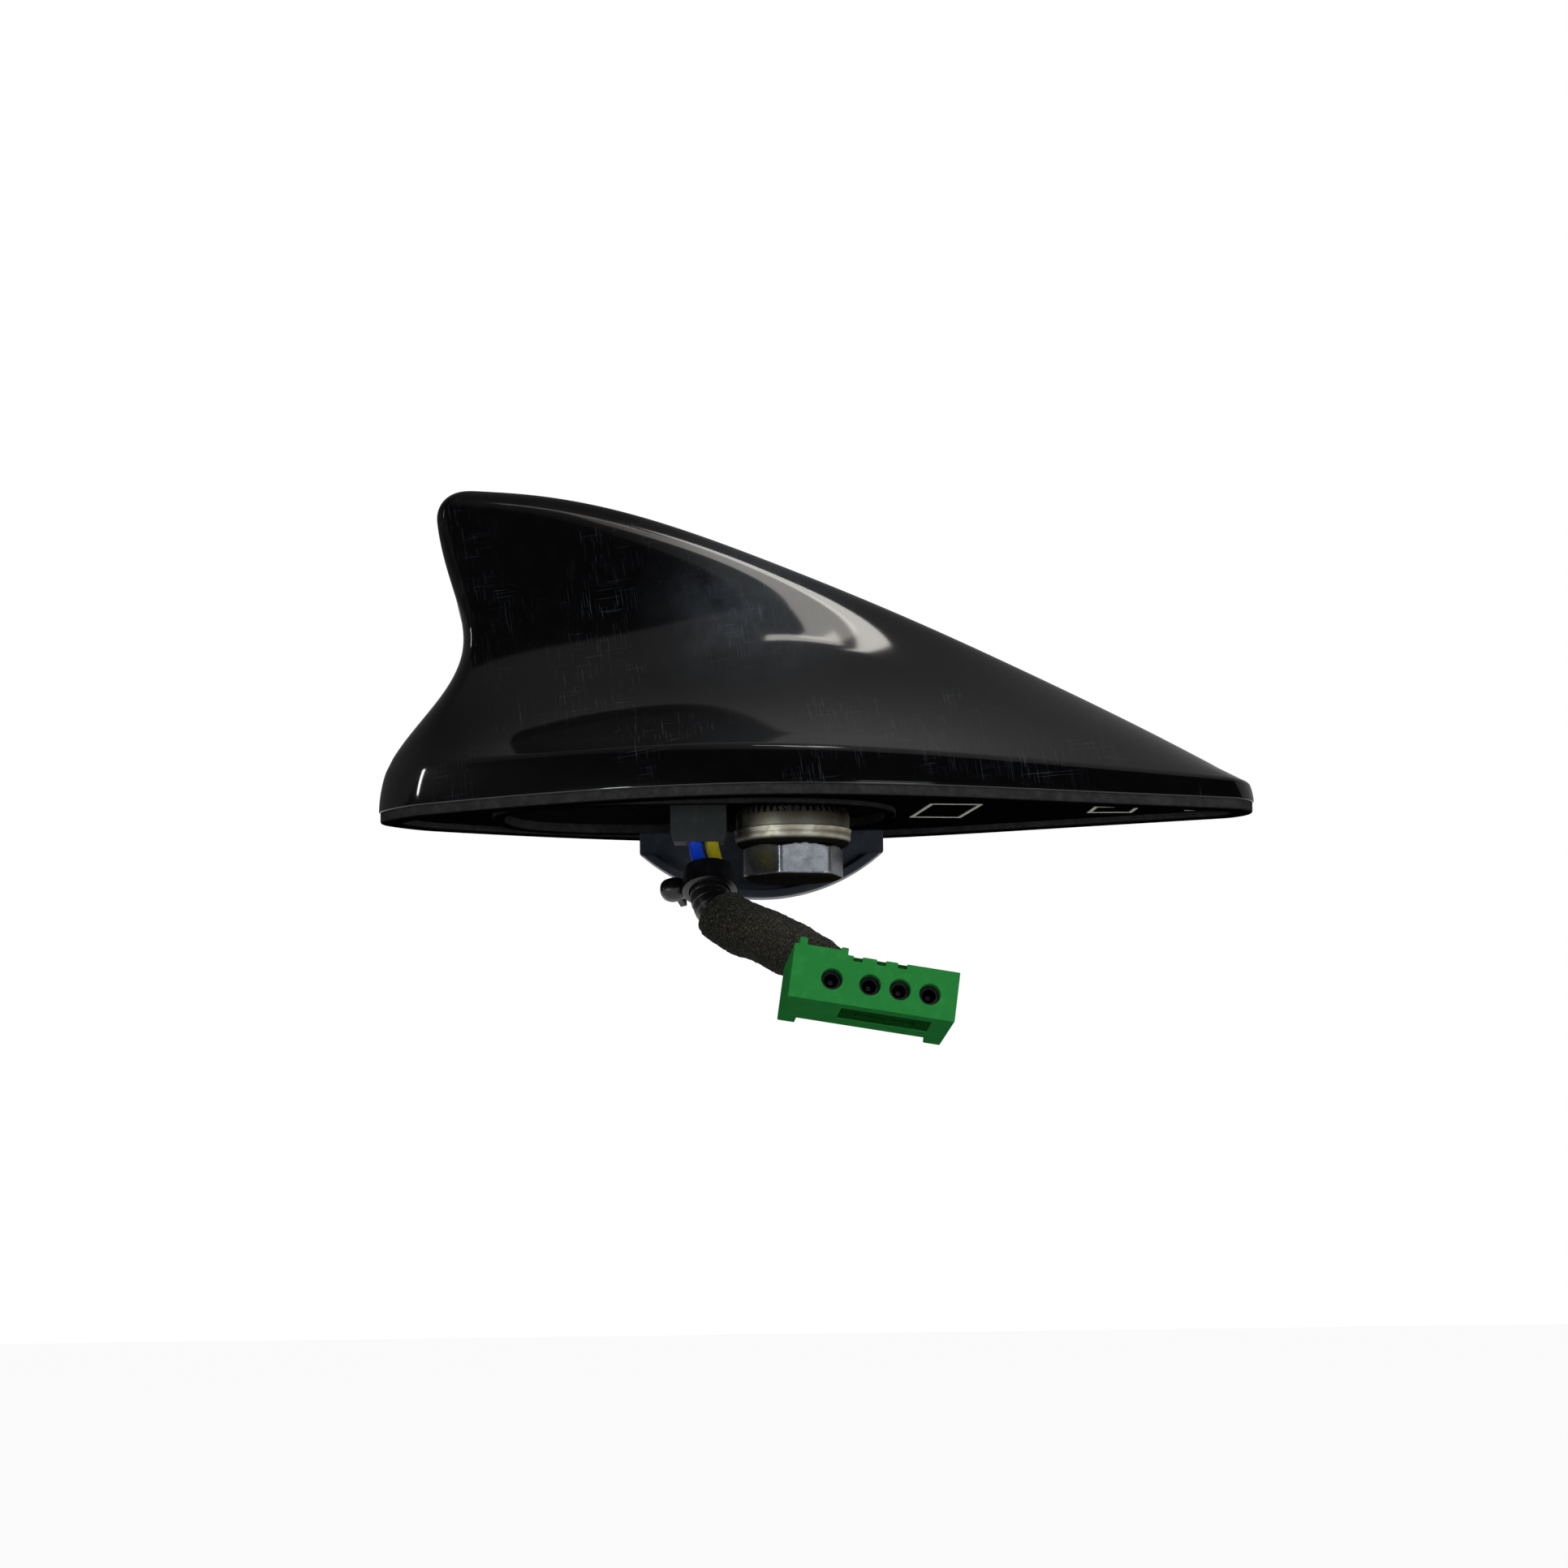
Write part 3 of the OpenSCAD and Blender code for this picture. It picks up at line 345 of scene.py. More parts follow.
FINISHES = {
    "cover_black": worn_gloss("cover_black", rgb(3, 3, 4), rgb(104, 112, 122), 0.12),
    # The seal's last colour is painted shade for its down-facing underside
    "seal_rubber": rubber("seal_rubber", rgb(36, 36, 36), rgb(60, 60, 60), rgb(5, 5, 6)),
    "plate_black": moulding("plate_black", rgb(10, 10, 11), rgb(22, 22, 24), 0.5, sheen=0.0),
    "gasket_rubber": rubber("gasket_rubber", rgb(40, 40, 44), rgb(60, 60, 64)),
    "screw_steel": plated("screw_steel", rgb(190, 190, 194), rgb(140, 138, 132), 0.25, 4.0),
    "board_green": etched_board("board_green", rgb(18, 72, 40), rgb(60, 120, 62)),
    "tin_plate": plated("tin_plate", rgb(205, 206, 208), rgb(160, 158, 150), 0.28, 1.2),
    "patch_ceramic": moulding("patch_ceramic", rgb(196, 186, 158), rgb(214, 206, 184), 0.5, 6.0),
    "patch_silver": plated("patch_silver", rgb(222, 222, 218), rgb(190, 188, 176), 0.35, 5.0),
    "pin_brass": plated("pin_brass", rgb(206, 180, 96), rgb(160, 130, 62), 0.28, 4.0),
    "bracket_black": moulding("bracket_black", rgb(26, 26, 28), rgb(44, 44, 46), 0.5),
    "element_brass": plated("element_brass", rgb(210, 204, 176), rgb(168, 158, 124), 0.3, 2.0),
    "spacer_foam": rubber("spacer_foam", rgb(44, 44, 46), rgb(70, 70, 72)),
    "bolt_zinc": plated("bolt_zinc", rgb(176, 182, 190), rgb(130, 130, 134), 0.24, 2.3, HEAD_SHADE_HEIGHTS),
    "collar_zinc": plated("collar_zinc", rgb(182, 180, 168), rgb(150, 138, 112), 0.36, 3.0, COLLAR_SHADE_HEIGHTS),
    "retainer_nylon": moulding("retainer_nylon", rgb(48, 52, 59), rgb(64, 69, 77), 0.3, sheen=0.05),
    "outlet_grey": moulding("outlet_grey", rgb(40, 43, 43), rgb(58, 61, 61), 0.5, sheen=0.1),
    "lead_blue": jacket("lead_blue", rgb(14, 62, 196), rgb(8, 42, 140)),
    "lead_yellow": jacket("lead_yellow", rgb(160, 148, 22), rgb(112, 102, 18)),
    "lead_black": jacket("lead_black", rgb(14, 14, 16), rgb(34, 34, 36)),
    "tie_black": moulding("tie_black", rgb(10, 10, 12), rgb(28, 28, 32), 0.26),
    "wrap_foam": felted_foam(),
    "connector_green": moulding("connector_green", rgb(34, 112, 50), rgb(48, 128, 64), 0.42, 5.0, 0.0),
    # A darker copy of the housing's green: painted shade for the lock on the underside and the web in the
    # notches
    "lock_green": moulding("lock_green", rgb(14, 58, 18), rgb(26, 76, 32), 0.45, 5.0, 0.0),
    "port_black": moulding("port_black", rgb(16, 16, 18), rgb(40, 40, 44), 0.35),
    "mark_grey": marked("mark_grey", rgb(176, 176, 160)),
}


# Meshes in millimetres, each a pair of points and faces

def around(rows, wrap=False, first_cap=False, last_cap=False):
    """Quads over rows of points, each row a closed loop, with flat caps where they are asked for."""
    rows = np.asarray(rows, float)
    count, width, _ = rows.shape
    spots = np.arange(count * width).reshape(count, width)
    low = spots if wrap else spots[:-1]
    high = np.roll(spots, -1, 0) if wrap else spots[1:]
    quads = np.stack([low, np.roll(low, -1, 1), np.roll(high, -1, 1), high], -1).reshape(-1, 4).tolist()
    if first_cap:
        quads.append(spots[0][::-1].tolist())
    if last_cap:
        quads.append(spots[-1].tolist())
    return rows.reshape(-1, 3), quads


def joined(*parts):
    """Several meshes as one."""
    points, faces, start = [], [], 0
    for part_points, part_faces in parts:
        points.append(np.asarray(part_points, float).reshape(-1, 3))
        faces += [[i + start for i in face] for face in part_faces]
        start += len(points[-1])
    return np.vstack(points), faces


def moved(part, matrix):
    """A mesh moved and turned by a matrix."""
    points = np.asarray(part[0], float)
    turn = np.array(matrix.to_3x3())
    return points @ turn.T + np.array(matrix.translation), part[1]


def piece(name, part, slot, replaces=(), crisp=40):
    """Makes the mesh a piece on the body, in the finish of its slot, with edges crisp past an angle."""
    mesh = bpy.data.meshes.new(name)
    mesh.from_pydata((np.asarray(part[0]) * MM).tolist(), [], part[1])
    mesh.update()
    solid = bmesh.new()
    solid.from_mesh(mesh)
    bmesh.ops.recalc_face_normals(solid, faces=solid.faces)
    solid.to_mesh(mesh)
    solid.free()
    mesh.polygons.foreach_set("use_smooth", [True] * len(mesh.polygons))
    mesh.set_sharp_from_angle(angle=math.radians(crisp))
    made = bpy.data.objects.new(name, mesh)
    bpy.context.scene.collection.objects.link(made)
    mesh.materials.append(FINISHES[slot].material)
    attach(made, BODY)
    if replaces:
        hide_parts(*replaces)
    return made


# Faces that meet at less than FLAT degrees become one, and edges over SHARP degrees are rounded
FLAT = 1.5
SHARP = 30


def softened(node, name, slot, radius):
    """A copy of a CAD solid with its edges broken to a radius, which takes the solid's place."""
    solid = bmesh.new()
    solid.from_mesh(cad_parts[node].data)
    bmesh.ops.remove_doubles(solid, verts=solid.verts, dist=1e-6)
    flat = math.radians(FLAT)
    bmesh.ops.dissolve_limit(solid, angle_limit=flat, verts=solid.verts, edges=solid.edges)
    points = [v.co / MM for v in solid.verts]
    faces = [[v.index for v in face.verts] for face in solid.faces]
    solid.free()
    made = piece(name, (points, faces), slot, [node], crisp=SHARP)
    edge = made.modifiers.new("edge", "BEVEL")
    edge.width = radius * MM
    edge.segments = 3
    edge.limit_method = "ANGLE"
    edge.angle_limit = math.radians(SHARP)
    edge.use_clamp_overlap = False
    edge.harden_normals = True
    return made


# Smooth lines

def spline(values, place):
    """A cubic B-spline over evenly spaced values, at places counted in knots."""
    v = np.array([2 * values[0] - values[1], *values, 2 * values[-1] - values[-2]])
    last = len(values) - 1
    place = np.clip(place, 0, last)
    i = np.minimum(np.floor(place), last - 1).astype(int)
    f = place - i
    return ((1 - f) ** 3 * v[i] + (3 * f ** 3 - 6 * f * f + 4) * v[i + 1]
            + (3 * f * f - 3 * f ** 3 + 3 * f + 1) * v[i + 2] + f ** 3 * v[i + 3]) / 6


def route(points, place):
    """The points of a smooth line at places counted in its knots."""
    points = np.asarray(points, float)
    return np.stack([spline(points[:, k], place) for k in range(3)], -1)


def heading(points, place):
    """The direction in which a route runs at a place."""
    step = route(points, place + 0.05) - route(points, place - 0.05)
    return step / np.linalg.norm(step, axis=-1, keepdims=True)


def across(direction):
    """Two directions across a route: one near the nose, one near the camera's side."""
    side = np.cross(direction, [1, 0, 0])
    side /= np.linalg.norm(side, axis=-1, keepdims=True)
    return np.cross(side, direction), side


def hoops(points, places, radius, sides):
    """Rings round a route. The radius is one number, or one for each ring and side."""
    centre = route(points, places)[:, None, :]
    first, second = across(heading(points, places))
    turn = np.linspace(0, 2 * math.pi, sides, endpoint=False)
    radius = np.broadcast_to(radius, (len(places), sides))[..., None]
    return centre + radius * (np.cos(turn)[None, :, None] * first[:, None, :]
                              + np.sin(turn)[None, :, None] * second[:, None, :])


# Leads: the same routes as in the part's source. BUNDLE is the middle of the four, from the board down

COAX_D = 2.6
COAX_PITCH = 3.05
BUNDLE = [(-16.8, -4.8, 8), (-16.8, -4.8, 3), (-16.8, -4.8, -1), (-16.8, -4.8, -5),
          (-16.55, -5.1, -7.2), (-15.8, -6.4, -9.8), (-15.6, -8, -12.8), (-15.7, -9.6, -15.8),
          (-14.2, -11.6, -18.8), (-10.8, -14.6, -21.2), (-5.8, -19.4, -23.5), (-0.5, -27, -26.9),
          (4.2, -34.2, -30.2), (8, -40, -35.4)]
LEAD_AT = [(-1, -1), (1, -1), (-1, 1), (1, 1)]
CONN_AT = Vector((13, -66, -36.1))
CONN_TURN = Euler([math.radians(a) for a in (-11, 9.3, 5)]).to_matrix()
CONN_D = 16
PORT_X = [-7.2, -0.7, 4.4, 9.5]
PORT_Z = -0.25
# How far a lead reaches into the housing, and where it runs straight before that
LEAD_SOCKET = 3
STRAIGHT_FROM = 2.4
FAN_OUT = 5
LEAD_SIDES = 24
LEAD_RINGS = 180
OUTLET_MOUTH = -4.9


def in_conn(x, y, z):
    """A point of the connector's own frame in the part's frame."""
    return tuple(CONN_AT + CONN_TURN @ Vector((x, y, z)))


def lead_route(corner, port):
    """One lead keeps its corner of the bundle, then turns to its own port."""
    line = []
    for i, middle in enumerate(BUNDLE):
        first, second = across(heading(BUNDLE, np.array([float(i)])))
        c = [s * COAX_PITCH / 2 for s in LEAD_AT[corner]]
        line.append(tuple(np.array(middle) + c[0] * first[0] - c[1] * second[0]))
    x = PORT_X[port]
    line.append(in_conn(x * 0.7, CONN_D + FAN_OUT, PORT_Z - 1.3 * LEAD_AT[corner][1]))
    for depth in (STRAIGHT_FROM, 0.4, -LEAD_SOCKET):
        line.append(in_conn(x, CONN_D + depth, PORT_Z))
    return line


def make_lead(name, node, slot, corner, port):
    """The lead's piece, its middle line, the point where it leaves the outlet, and its length."""
    line = lead_route(corner, port)
    places = np.linspace(0, len(line) - 1, LEAD_RINGS)
    rings = hoops(line, places, COAX_D / 2, LEAD_SIDES)
    made = piece(name, around(rings, first_cap=True, last_cap=True), slot, [node])
    path = route(line, places) * MM
    mouth = path[np.abs(path[:, 2] - OUTLET_MOUTH * MM).argmin()]
    length = float(np.linalg.norm(np.diff(path, axis=0), axis=1).sum())
    return made, path.tolist(), mouth.tolist(), round(length, 4)


leads = [make_lead("blue_lead", "coax_blue", "lead_blue", 0, 0),
         make_lead("yellow_lead", "coax_yellow", "lead_yellow", 1, 2),
         make_lead("black_lead_a", "coax_black_a", "lead_black", 2, 1),
         make_lead("black_lead_b", "coax_black_b", "lead_black", 3, 3)]


# Foam, tape and tie on the leads. Places along them are counted in knots of BUNDLE

FOAM_D = 10.6
FOAM_BORE = 7.8
FOAM_FROM = 8.0
FOAM_TO = 12.2
FOAM_SIDES = 150
FOAM_RINGS = 150
# Height of the lumps, and how many of them there are to a millimetre
FOAM_LUMPS = [(0.32, 0.22), (0.16, 0.9), (0.1, 3.1)]
FOAM_SHRINK = 0.3
FOAM_LIP = 0.7


def make_foam():
    """Foam cloth wrapped round the leads: lumpy at large, grainy at small, with soft lips at its ends."""
    places = np.linspace(FOAM_FROM, FOAM_TO, FOAM_RINGS)
    outer = hoops(BUNDLE, places, FOAM_D / 2, FOAM_SIDES)
    centre = route(BUNDLE, places)[:, None, :]
    lumps = np.zeros(outer.shape[:2])
    for j in range(FOAM_RINGS):
        for i in range(FOAM_SIDES):
            at = Vector(outer[j, i])
            lumps[j, i] = sum(height * noise.noise(at * count) for height, count in FOAM_LUMPS)
    rings = np.arange(FOAM_RINGS)
    lip = FOAM_LIP * np.exp(-np.minimum(rings, rings[::-1]) / 2.0)[:, None]
    outer = outer + (outer - centre) / (FOAM_D / 2) * (lumps - FOAM_SHRINK - lip)[..., None]
    inner = hoops(BUNDLE, places, FOAM_BORE / 2, FOAM_SIDES)
    return around(np.concatenate([outer, inner[::-1]]), wrap=True)


TIE_PLACE = 5.9
TIE_T = 1.3
TIE_W = 4.6
TIE_HEAD_TURN = 290
TIE_RIB = 1.25
TIE_RIB_DEPTH = 0.22
TIE_STEPS = 360
# How far the head and the tail stand off the inside of the strap
TIE_OUT = 0.6
# Half the head's length outwards, and half its width round the leads
HEAD_REACH = 2.5
HEAD_HALF = 2.3
TAIL_L = 4.0


def make_tie():
    """Ribbed strap round the leads, its rounded head and its tail, cut short."""
    inside = FOAM_BORE / 2
    turn = np.linspace(0, 2 * math.pi, TIE_STEPS, endpoint=False)
    ribs = np.abs(np.sin(turn * inside / TIE_RIB * math.pi / 2)) ** 0.6 * TIE_RIB_DEPTH
    half = TIE_W / 2
    section = [(0, -half), (0, half), (0.6, half), (0.92, half - 0.25), (1, half - 0.7), (1, 0),
               (1, 0.7 - half), (0.92, 0.25 - half), (0.6, -half)]
    rows = []
    for share, height in section:
        ribbed = 1.0 if share > 0.95 else 0.0
        radius = inside + share * TIE_T - ribbed * ribs
        level = np.full(TIE_STEPS, height)
        rows.append(np.stack([radius * np.cos(turn), radius * np.sin(turn), level], -1))
    strap = around(rows, wrap=True)
    out = inside + TIE_OUT
    head_rows = []
    for t in np.linspace(-1, 1, 13):
        shrink = max(1 - abs(t) ** 3, 0.2) ** 0.5
        ring = []
        for a in np.linspace(0, 2 * math.pi, 40, endpoint=False):
            x = math.copysign(abs(math.cos(a)) ** 0.8, math.cos(a)) * HEAD_REACH * shrink
            y = math.copysign(abs(math.sin(a)) ** 0.8, math.sin(a)) * HEAD_HALF * shrink
            ring.append((out + HEAD_REACH + x, y, t * half * 0.9))
        head_rows.append(ring)
    head = around(head_rows, first_cap=True, last_cap=True)
    tail_rows = []
    for t in np.linspace(0, 1, 24):
        y = TAIL_L * t
        bend = out + 1.0 + 0.25 * TIE_T
        high = half - 0.5 - 0.5 * max(t - 0.85, 0) / 0.15
        tail_rows.append([(bend, y, -high), (bend + 1.0, y, -high), (bend + 1.0, y, high), (bend, y, high)])
    tail = around(tail_rows, first_cap=True, last_cap=True)
    direction = Vector(heading(BUNDLE, np.array([TIE_PLACE]))[0])
    lean = (0, math.acos(direction.z), math.atan2(direction.y, direction.x))
    upright = Euler(lean).to_matrix().to_4x4()
    head_turn = Matrix.Rotation(math.radians(TIE_HEAD_TURN), 4, "Z")
    centre = Matrix.Translation(route(BUNDLE, np.array([TIE_PLACE]))[0])
    return moved(joined(strap, head, tail), centre @ upright @ head_turn)


TAPE_FROM, TAPE_TO = 5.9, 8.3
TAPE_R = 3.6
TAPE_T = 0.14
# Laps of the tape to a knot
TAPE_LAPS = 2.3
TAPE_RINGS = 70
TAPE_SIDES = 60


def make_tape():
    """Black tape wound round the leads, from inside the tie to inside the foam."""
    places = np.linspace(TAPE_FROM, TAPE_TO, TAPE_RINGS)
    turn = np.linspace(0, 1, TAPE_SIDES, endpoint=False)
    lap = (places[:, None] * TAPE_LAPS + turn[None, :]) % 1
    return around(hoops(BUNDLE, places, TAPE_R + TAPE_T * lap, TAPE_SIDES))


# The web behind the notches of the housing, dark green as painted shade in the notches, in the connector's
# own frame
STOP_LOW = (-5, 0.7, 3.2)
STOP_HIGH = (6, 2.2, 4.25)


def box(low, high):
    """A block between its lowest and its highest corner."""
    xs, ys, zs = zip(low, high)
    corners = [(x, y, z) for x in xs for y in ys for z in zs]
    return corners, [(0, 1, 3, 2), (4, 6, 7, 5), (0, 4, 5, 1), (2, 3, 7, 6), (0, 2, 6, 4), (1, 5, 7, 3)]


tape = piece("lead_tape", make_tape(), "lead_black", crisp=60)
conn_place = Matrix.Translation(CONN_AT) @ CONN_TURN.to_4x4()
slot_stop = piece("slot_stop", moved(box(STOP_LOW, STOP_HIGH), conn_place), "lock_green")
foam = piece("foam_sleeve", make_foam(), "wrap_foam", ["foam_wrap"], crisp=180)
tie = piece("strap_tie", make_tie(), "tie_black", ["cable_tie"])
housing = softened("connector_housing", "green_housing", "connector_green", 0.18)
lock = softened("connector_lock", "green_lock", "lock_green", 0.12)
contacts = softened("connector_contacts", "port_inserts", "port_black", 0.06)


# Cover: the loft of the part's source, drawn finer, with its crease and rim rounded

# The lists run from the rear to the nose, and REAR_SHAPE from the foot up. They are shares: PLAN_SHAPE
# of HALF_W, RIDGE_SHAPE of HEIGHT, REAR_SHAPE of REAR, BLADE_SHAPE of BLADE_HALF. SHOULDER is a depth
REAR, NOSE, HALF_W, HEIGHT = 78.0, 87.0, 36.5, 63.8
WALL = 2.2
SKIRT_H, SKIRT_DROP, SKIRT_LEAN = 7.6, 4.0, 0.9
BLADE_HALF = 4.9
SEAL_T = 2.0
PLAN_SHAPE = [0.19, 0.45, 0.675, 0.86, 0.98, 1.025, 0.955, 0.835, 0.67, 0.49, 0.325, 0.155]
RIDGE_SHAPE = [1.004, 0.991, 0.944, 0.867, 0.773, 0.674, 0.568, 0.454, 0.337, 0.214, 0.082]
REAR_SHAPE = [1.002, 0.995, 0.922, 0.834, 0.788, 0.803, 0.836, 0.86, 0.866]
FLARE_POWER = [4.8, 4.9, 5.05, 4.75, 3.6, 2.42, 2.3, 1.86, 1.36, 1.05, 1, 1]
BLADE_SHAPE = [1, 1, 1, 0.97, 0.9, 0.98, 1.09, 1.05, 0.91, 0.76, 0.62, 0.55]
SHOULDER = [4.5, 4.5, 5.5, 8, 11, 12.5, 12, 11, 10.2, 9.6, 8.8, 8.5]
RIDGE_START = REAR * 0.808
REAR_END_R, NOSE_END_R, TIP_R = 9.0, 4.6, 6.0
LENGTH = REAR + NOSE
CREASE_TOP = SEAL_T + SKIRT_H
HALF_RING = 130
RING_SHARE = (1 - np.cos(np.linspace(0, math.pi, HALF_RING + 1))) / 2
CREASE_R = 0.75
RIM_R = 0.3


def round_end(distance, radius):
    """The share of a full width at a distance from a rounded end."""
    return np.sqrt(1 - (1 - np.clip(distance / radius, 0, 1)) ** 2)


def plan_knot(x):
    return (x + REAR) / LENGTH * (len(PLAN_SHAPE) - 1)


def rim_half(x):
    leaf = HALF_W * spline(PLAN_SHAPE, plan_knot(x))
    return leaf * round_end(x + REAR, REAR_END_R) * round_end(NOSE - x, NOSE_END_R)


def ridge_z(x):
    share = (x + RIDGE_START) / (NOSE + RIDGE_START)
    return HEIGHT * spline(RIDGE_SHAPE, share * (len(RIDGE_SHAPE) - 1))


def rear_x(z):
    tip = np.clip((z - HEIGHT) / TIP_R + 1, 0, 1)
    shape = spline(REAR_SHAPE, (z - SEAL_T) / (HEIGHT - SEAL_T) * (len(REAR_SHAPE) - 1))
    return -REAR * shape + TIP_R * (1 - np.sqrt(1 - tip * tip))


def skirt_at(x):
    return SKIRT_H - SKIRT_DROP * np.clip((x + 20) / (NOSE + 20), 0, 1) ** 1.3


def crease_z(x):
    return SEAL_T + skirt_at(x)


def between(low, high, is_low):
    """The place between low and high at which is_low stops being true."""
    for _ in range(30):
        middle = (low + high) / 2
        if is_low(middle):
            low = middle
        else:
            high = middle
    return low


def ridge_x(h):
    return between(-RIDGE_START, NOSE, lambda x: ridge_z(x) - crease_z(x) > h)


SKIRT_REAR = -rear_x(CREASE_TOP)
SKIRT_NOSE = ridge_x(0)


def skirt_ends(t):
    """The skirt's rear and nose at a share t of its height."""
    return -(REAR + (SKIRT_REAR - REAR) * t * t), NOSE + (SKIRT_NOSE - NOSE) * t * t


def skirt_half(x, t):
    rear, nose = skirt_ends(t)
    return rim_half(-REAR + LENGTH * (x - rear) / (nose - rear)) * (1 - SKIRT_LEAN * t * t / HALF_W)


def end_radius(z):
    """How round the trailing edge is at a height: wide at the foot, tight up the fin."""
    return 2.6 + 6.4 * np.exp(-np.clip((z - CREASE_TOP) / 12, 0, 9) ** 1.4)


def blade(x, depth):
    """Half the fin's thickness at a depth below its ridge."""
    thick = BLADE_HALF * spline(BLADE_SHAPE, plan_knot(x)) + 0.012 * depth
    return thick * round_end(depth, spline(SHOULDER, plan_knot(x)))


def upper_half(x, h):
    """Half width of the cover at x, at the height h above the crease."""
    along = (x + SKIRT_REAR) / (SKIRT_NOSE + SKIRT_REAR)
    full = ((HALF_W - SKIRT_LEAN) * spline(PLAN_SHAPE, along * (len(PLAN_SHAPE) - 1))
            * round_end(SKIRT_NOSE - x, NOSE_END_R))
    top = ridge_z(x) - crease_z(x)
    inner = np.minimum(blade(x, top - h), full)
    foot = np.clip(1 - h / np.maximum(top, 0.01), 0, 1) ** spline(FLARE_POWER, plan_knot(x))
    z = crease_z(x) + h
    return (inner + (full - inner) * foot) * round_end(x - rear_x(z), end_radius(z))


def ring(rear, nose, half, height):
    """A loop from the rear end along one side to the nose and back along the other."""
    x = rear + (nose - rear) * RING_SHARE
    y = np.maximum(half(x), 0)
    y[[0, -1]] = 0
    z = height(x)
    there = np.stack([x, y, z], -1)
    back = np.stack([x, -y, z], -1)[-2:0:-1]
    return np.concatenate([there, back])


def skirt_ring(t):
    return ring(*skirt_ends(t), lambda x: skirt_half(x, t), lambda x: SEAL_T + t * skirt_at(x))


def upper_ring(h):
    rear, nose = rear_x(CREASE_TOP + h), ridge_x(h)
    return ring(rear, nose, lambda x: upper_half(x, h), lambda x: h + crease_z(x))


def rounded(before, corner, after, radius, steps):
    """Rows that take the corner row round at a radius, between its two neighbours."""
    first = before - corner
    second = after - corner
    first *= np.minimum(radius / np.linalg.norm(first, axis=1), 0.9)[:, None]
    second *= np.minimum(radius / np.linalg.norm(second, axis=1), 0.9)[:, None]
    return [corner + (1 - t) ** 2 * first + t * t * second for t in np.linspace(0, 1, steps)]


CAVITY_HEIGHTS = [48.5, 45, 40, 34, 28, 22, 17, 13, 9.5, 6, 3, 0]
ROOF_SHIFT = 0.4 * WALL
END_SPAN = 12


def cavity_rings():
    """The inside, one wall from the skin, from its roof down to the mouth."""
    rows = []
    for height in CAVITY_HEIGHTS:
        rear, nose = rear_x(CREASE_TOP + height), ridge_x(height)
        middle = rear + 0.35 * (nose - rear)
        solid = lambda x: upper_half(x, height) < WALL
        rear = between(rear, middle, solid)
        nose = between(nose, middle, solid)
        rows.append(ring(rear, nose, lambda x: upper_half(x, height) - WALL,
                         lambda x: height - ROOF_SHIFT + crease_z(x)))
    mouth = lambda x: skirt_half(x, 0) < WALL
    rear = between(-REAR, END_SPAN - REAR, mouth)
    nose = between(NOSE, NOSE - END_SPAN, mouth)
    rows.append(ring(rear, nose, lambda x: skirt_half(x, 0) - WALL, lambda x: np.full_like(x, SEAL_T)))
    return rows


SKIRT_SHARES = [0.12, 0.3, 0.5, 0.7, 0.85]
STATIONS = 120
TOP_RINGS = 14


def make_cover():
    """Rings from the cavity's roof down, round the rim, up the skirt and over the crease to the ridge."""
    inside = cavity_rings()
    skirt = [skirt_ring(t) for t in SKIRT_SHARES]
    rim = rounded(inside[-1], skirt_ring(0), skirt[0], RIM_R, 6)
    stations = SKIRT_NOSE - (SKIRT_NOSE + RIDGE_START - TIP_R) * np.linspace(0.012, 1, STATIONS)
    heights = [float(ridge_z(x) - crease_z(x)) for x in stations]
    last = heights[-1]
    top = between(last, last + 2, lambda h: rear_x(CREASE_TOP + h) < ridge_x(h))
    heights += [last + (top - last) * math.sin(math.pi / 2 * k / TOP_RINGS) for k in range(1, TOP_RINGS)]
    upper = [upper_ring(h) for h in heights]
    crease = rounded(skirt[-1], skirt_ring(1), upper[2], CREASE_R, 9)
    return around(inside + rim + skirt + crease + upper[3:], first_cap=True, last_cap=True)


piece("fin_cover", make_cover(), "cover_black", ["cover"], crisp=50)


# Seal: lip, web and bead, swept inside the cover's rim

OUTLINE_N = 150
SEAL_INSET, SEAL_LIP, SEAL_WEB, SEAL_BEAD = 0.3, 4.2, 0.8, 2.4
RECESS_X, RECESS_RX, RECESS_RY = -18.5, 35.5, 21.5
# An ellipse has the power 2, and more gives it fuller ends
OVAL_POWER = 2 / 0.75


def outline(gap, height):
    """The rim's outline, a true distance inside it, at a height."""
    share = (1 - np.cos(np.linspace(0, math.pi, OUTLINE_N + 1)))[1:-1] / 2
    x = -REAR + LENGTH * share
    slope = (rim_half(x + 0.05) - rim_half(x - 0.05)) / 0.1
    stretch = np.sqrt(1 + slope * slope)
    side = np.stack([x + gap * slope / stretch, np.maximum(rim_half(x) - gap / stretch, 0.01)], -1)
    loop = np.concatenate([[[gap - REAR, 0]], side, [[NOSE - gap, 0]], side[::-1] * [1, -1]])
    return np.column_stack([loop, np.full(len(loop), height)])


def oval(grow, height, toward):
    """The recess's oval, with a point on the line from its middle to each point of a loop."""
    angle = np.arctan2(toward[:, 1], toward[:, 0] - RECESS_X)
    along_x = np.abs(np.cos(angle) / (RECESS_RX + grow)) ** OVAL_POWER
    along_y = np.abs(np.sin(angle) / (RECESS_RY + grow)) ** OVAL_POWER
    reach = (along_x + along_y) ** (-1 / OVAL_POWER)
    level = np.full(len(angle), height)
    return np.stack([RECESS_X + reach * np.cos(angle), reach * np.sin(angle), level], -1)


